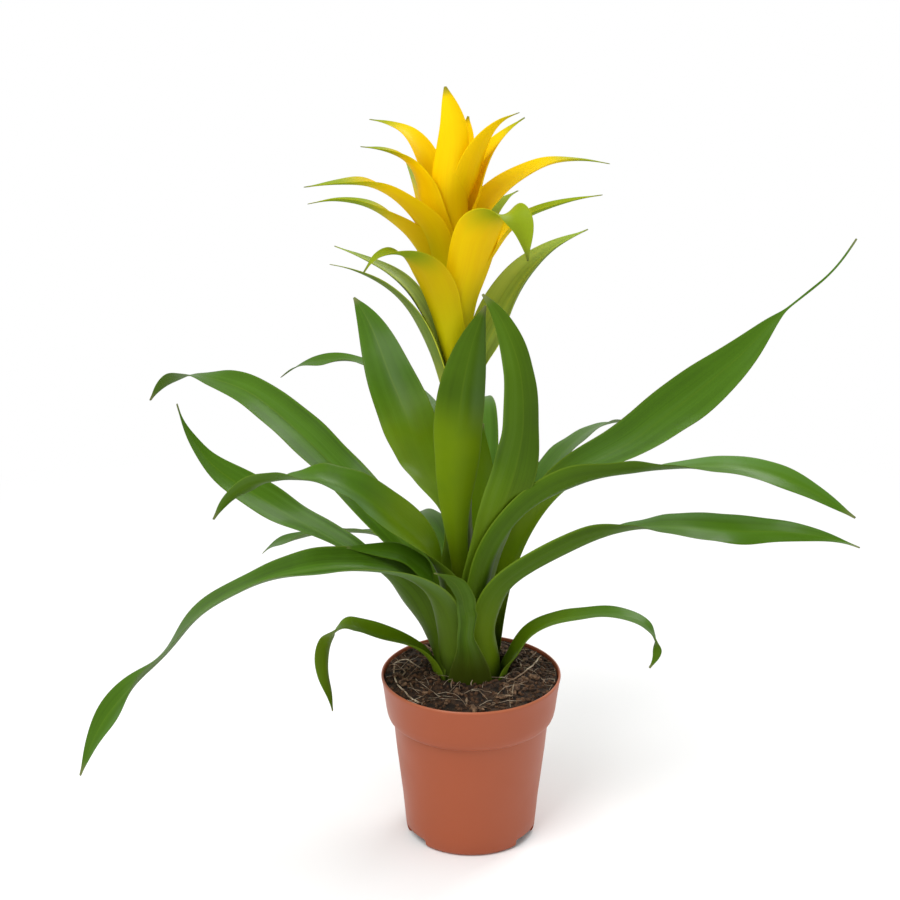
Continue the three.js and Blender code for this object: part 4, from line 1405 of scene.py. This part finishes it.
class GUZMANIA_OT_leaves(bpy.types.Operator):
    """Builds every leaf"""

    bl_idname = "guzmania.leaves"
    bl_label = "Leaves"

    def execute(self, context):
        settings = context.scene.guzmania_blades
        foot, young_and_backlit = tuple(settings.leaf_foot_color), tuple(settings.young_and_backlit_color)
        materials = (
            leaf_material(
                "leaf_upper", tuple(settings.leaf_color), foot, young_and_backlit,
                gloss=0.38, shine=0.1, coat=0.12, half_shade=0.5,
            ),
            leaf_material(
                "leaf_under", tuple(settings.leaf_under_color), foot, young_and_backlit,
                gloss=0.46, shine=0.1, coat=0.0, half_shade=0.5,
            ),
        )
        for index, entry in enumerate(LEAVES):
            shape = {**LEAF_SHAPE, **entry}
            draw = random.Random(LEAF_SEED + index)
            piece = model_blade(
                shape, leaf_path(shape), settings.leaf_rows, settings.columns, settings.thickness,
                settings.ripple, materials, draw,
            )
            for name in ("tone", "youth_and_backlight", "yellow_until", "dark", "lit_half"):
                set_attribute(piece, name, shape[name])
            settle(piece, f"{shape['node']}_blade", "leaf", shape["node"])
        return {"FINISHED"}


def add_bracts(settings, entries, slot, materials, seed):
    """Builds the bracts of one kind, each leaning with the flower stem"""
    for index, entry in enumerate(entries):
        shape = {**BRACT_SHAPE, **entry}
        draw = random.Random(seed + index)
        piece = model_blade(
            shape, bract_path(shape), settings.bract_rows, settings.columns, settings.thickness,
            settings.ripple * BRACT_RIPPLE, materials, draw,
        )
        for name in ("tone", "green", "lit_half"):
            set_attribute(piece, name, shape[name])
        lean_flower(piece)
        settle(piece, f"{shape['node']}_blade", slot, shape["node"])


class GUZMANIA_OT_stem_bracts(bpy.types.Operator):
    """Builds the green bracts on the flower stem"""

    bl_idname = "guzmania.stem_bracts"
    bl_label = "Stem bracts"

    def execute(self, context):
        settings = context.scene.guzmania_blades
        foot, young_and_backlit = tuple(settings.stem_bract_foot_color), tuple(settings.young_and_backlit_color)
        materials = (
            leaf_material(
                "stem_bract_upper", tuple(settings.stem_bract_color), foot, young_and_backlit,
                gloss=0.4, shine=0.15, coat=0.0, half_shade=1.0,
            ),
            leaf_material(
                "stem_bract_under", tuple(settings.stem_bract_under_color), foot, young_and_backlit,
                gloss=0.48, shine=0.15, coat=0.0, half_shade=1.0,
            ),
        )
        add_bracts(settings, STEM_BRACTS, "stem_bract", materials, STEM_BRACT_SEED)
        return {"FINISHED"}


class GUZMANIA_OT_flower_bracts(bpy.types.Operator):
    """Builds the yellow bracts of the flower"""

    bl_idname = "guzmania.flower_bracts"
    bl_label = "Flower bracts"

    def execute(self, context):
        settings = context.scene.guzmania_blades
        body, foot = tuple(settings.bract_color), tuple(settings.bract_foot_color)
        tip = tuple(settings.bract_tip_color)
        materials = (
            bract_material("bract_upper", body, foot, tip, gloss=0.4),
            bract_material("bract_under", body, foot, tip, gloss=0.46),
        )
        add_bracts(settings, FLOWER_BRACTS, "flower_bract", materials, FLOWER_BRACT_SEED)
        return {"FINISHED"}


class GUZMANIA_OT_stage(bpy.types.Operator):
    """Builds the floor, the lights and the camera"""

    bl_idname = "guzmania.stage"
    bl_label = "Stage"

    def execute(self, context):
        settings = context.scene.guzmania_stage
        self.add_floor(settings)
        self.add_surround(context.scene, settings)
        self.add_light("key_light", KEY_PLACE, KEY_SIZE, settings.key)
        self.add_light("back_light", BACK_PLACE, BACK_SIZE, settings.key * BACK_SHARE)
        self.add_camera(context.scene, settings)
        context.scene.view_settings.view_transform = "Standard"
        return {"FINISHED"}

    def add_floor(self, settings):
        """A white floor that glows away from the pot"""
        deselect_all()
        bpy.ops.mesh.primitive_plane_add(size=FLOOR_SIZE, location=(0, 0, 0))
        floor = bpy.context.object
        floor.name = "floor"
        material, graph, shader = new_material("floor_paper")
        mask = graph.group(patches(), scale=3.0, detail=2.0, low=0.2, high=0.8)["Mask"]
        color = tuple(settings.floor_color)
        graph.feed(shader["Base Color"], graph.mix(mask, color, shade(color, 0.99)))
        shader["Roughness"].default_value = 0.9
        place = graph.add("ShaderNodeTexCoord").outputs["Object"]
        reach = graph.add("ShaderNodeVectorMath", operation="LENGTH")
        graph.feed(reach.inputs[0], place)
        white = graph.add("ShaderNodeEmission")
        mix_in(graph, white.outputs[0], graph.remap(reach.outputs["Value"], GLOW_FROM, GLOW_BY))
        floor.data.materials.append(material)

    def add_surround(self, scene, settings):
        """A surround that the camera sees as white and that lights the plant more softly"""
        world = bpy.data.worlds.new("white_surround")
        world.use_nodes = True
        background = world.node_tree.nodes["Background"]
        background.inputs["Color"].default_value = (1, 1, 1, 1)
        graph = Graph(world.node_tree)
        seen = graph.add("ShaderNodeLightPath").outputs["Is Camera Ray"]
        graph.feed(background.inputs["Strength"], graph.remap(seen, 0.0, 1.0, settings.sky, 1.0))
        scene.world = world

    def add_light(self, name, place, size, power):
        """A square light that faces the plant"""
        deselect_all()
        bpy.ops.object.light_add(type="AREA", location=place)
        light = bpy.context.object
        light.name = name
        light.data.size = size
        light.data.energy = power
        aim = Vector(LIGHT_AIM) - Vector(place)
        light.rotation_euler = aim.to_track_quat("-Z", "Y").to_euler()

    def add_camera(self, scene, settings):
        """The camera in the place from which the photo was taken"""
        place, aim = Vector(CAMERA_PLACE), Vector(CAMERA_AIM)
        bpy.ops.object.camera_add(location=place)
        camera = bpy.context.object
        camera.rotation_euler = (aim - place).to_track_quat("-Z", "Y").to_euler()
        camera.data.sensor_width = SENSOR_WIDTH
        camera.data.lens = settings.lens
        scene.camera = camera


class GUZMANIA_PT_panel(bpy.types.Panel):
    """Lists the steps that build the plant"""

    bl_idname = "GUZMANIA_PT_panel"
    bl_label = "Guzmania"
    bl_space_type = "VIEW_3D"
    bl_region_type = "UI"
    bl_category = "Guzmania"

    def draw(self, context):
        for operator in OPERATORS:
            self.layout.operator(operator.bl_idname)


OPERATORS = (
    GUZMANIA_OT_pot,
    GUZMANIA_OT_mix,
    GUZMANIA_OT_stem,
    GUZMANIA_OT_leaves,
    GUZMANIA_OT_stem_bracts,
    GUZMANIA_OT_flower_bracts,
    GUZMANIA_OT_stage,
)
SETTINGS = {
    "guzmania_blades": GuzmaniaBladeSettings,
    "guzmania_pot": GuzmaniaPotSettings,
    "guzmania_mix": GuzmaniaMixSettings,
    "guzmania_stage": GuzmaniaStageSettings,
}


def register():
    """Adds the settings, the operators and the panel"""
    for cls in (*SETTINGS.values(), *OPERATORS, GUZMANIA_PT_panel):
        bpy.utils.register_class(cls)
    for name, cls in SETTINGS.items():
        setattr(bpy.types.Scene, name, PointerProperty(type=cls))


def unregister():
    """Removes the settings, the operators and the panel"""
    for name in SETTINGS:
        delattr(bpy.types.Scene, name)
    for cls in reversed((*SETTINGS.values(), *OPERATORS, GUZMANIA_PT_panel)):
        bpy.utils.unregister_class(cls)


def main():
    """Builds the plant"""
    register()
    for operator in OPERATORS:
        module, name = operator.bl_idname.split(".")
        getattr(getattr(bpy.ops, module), name)()


if __name__ == "__main__":
    main()
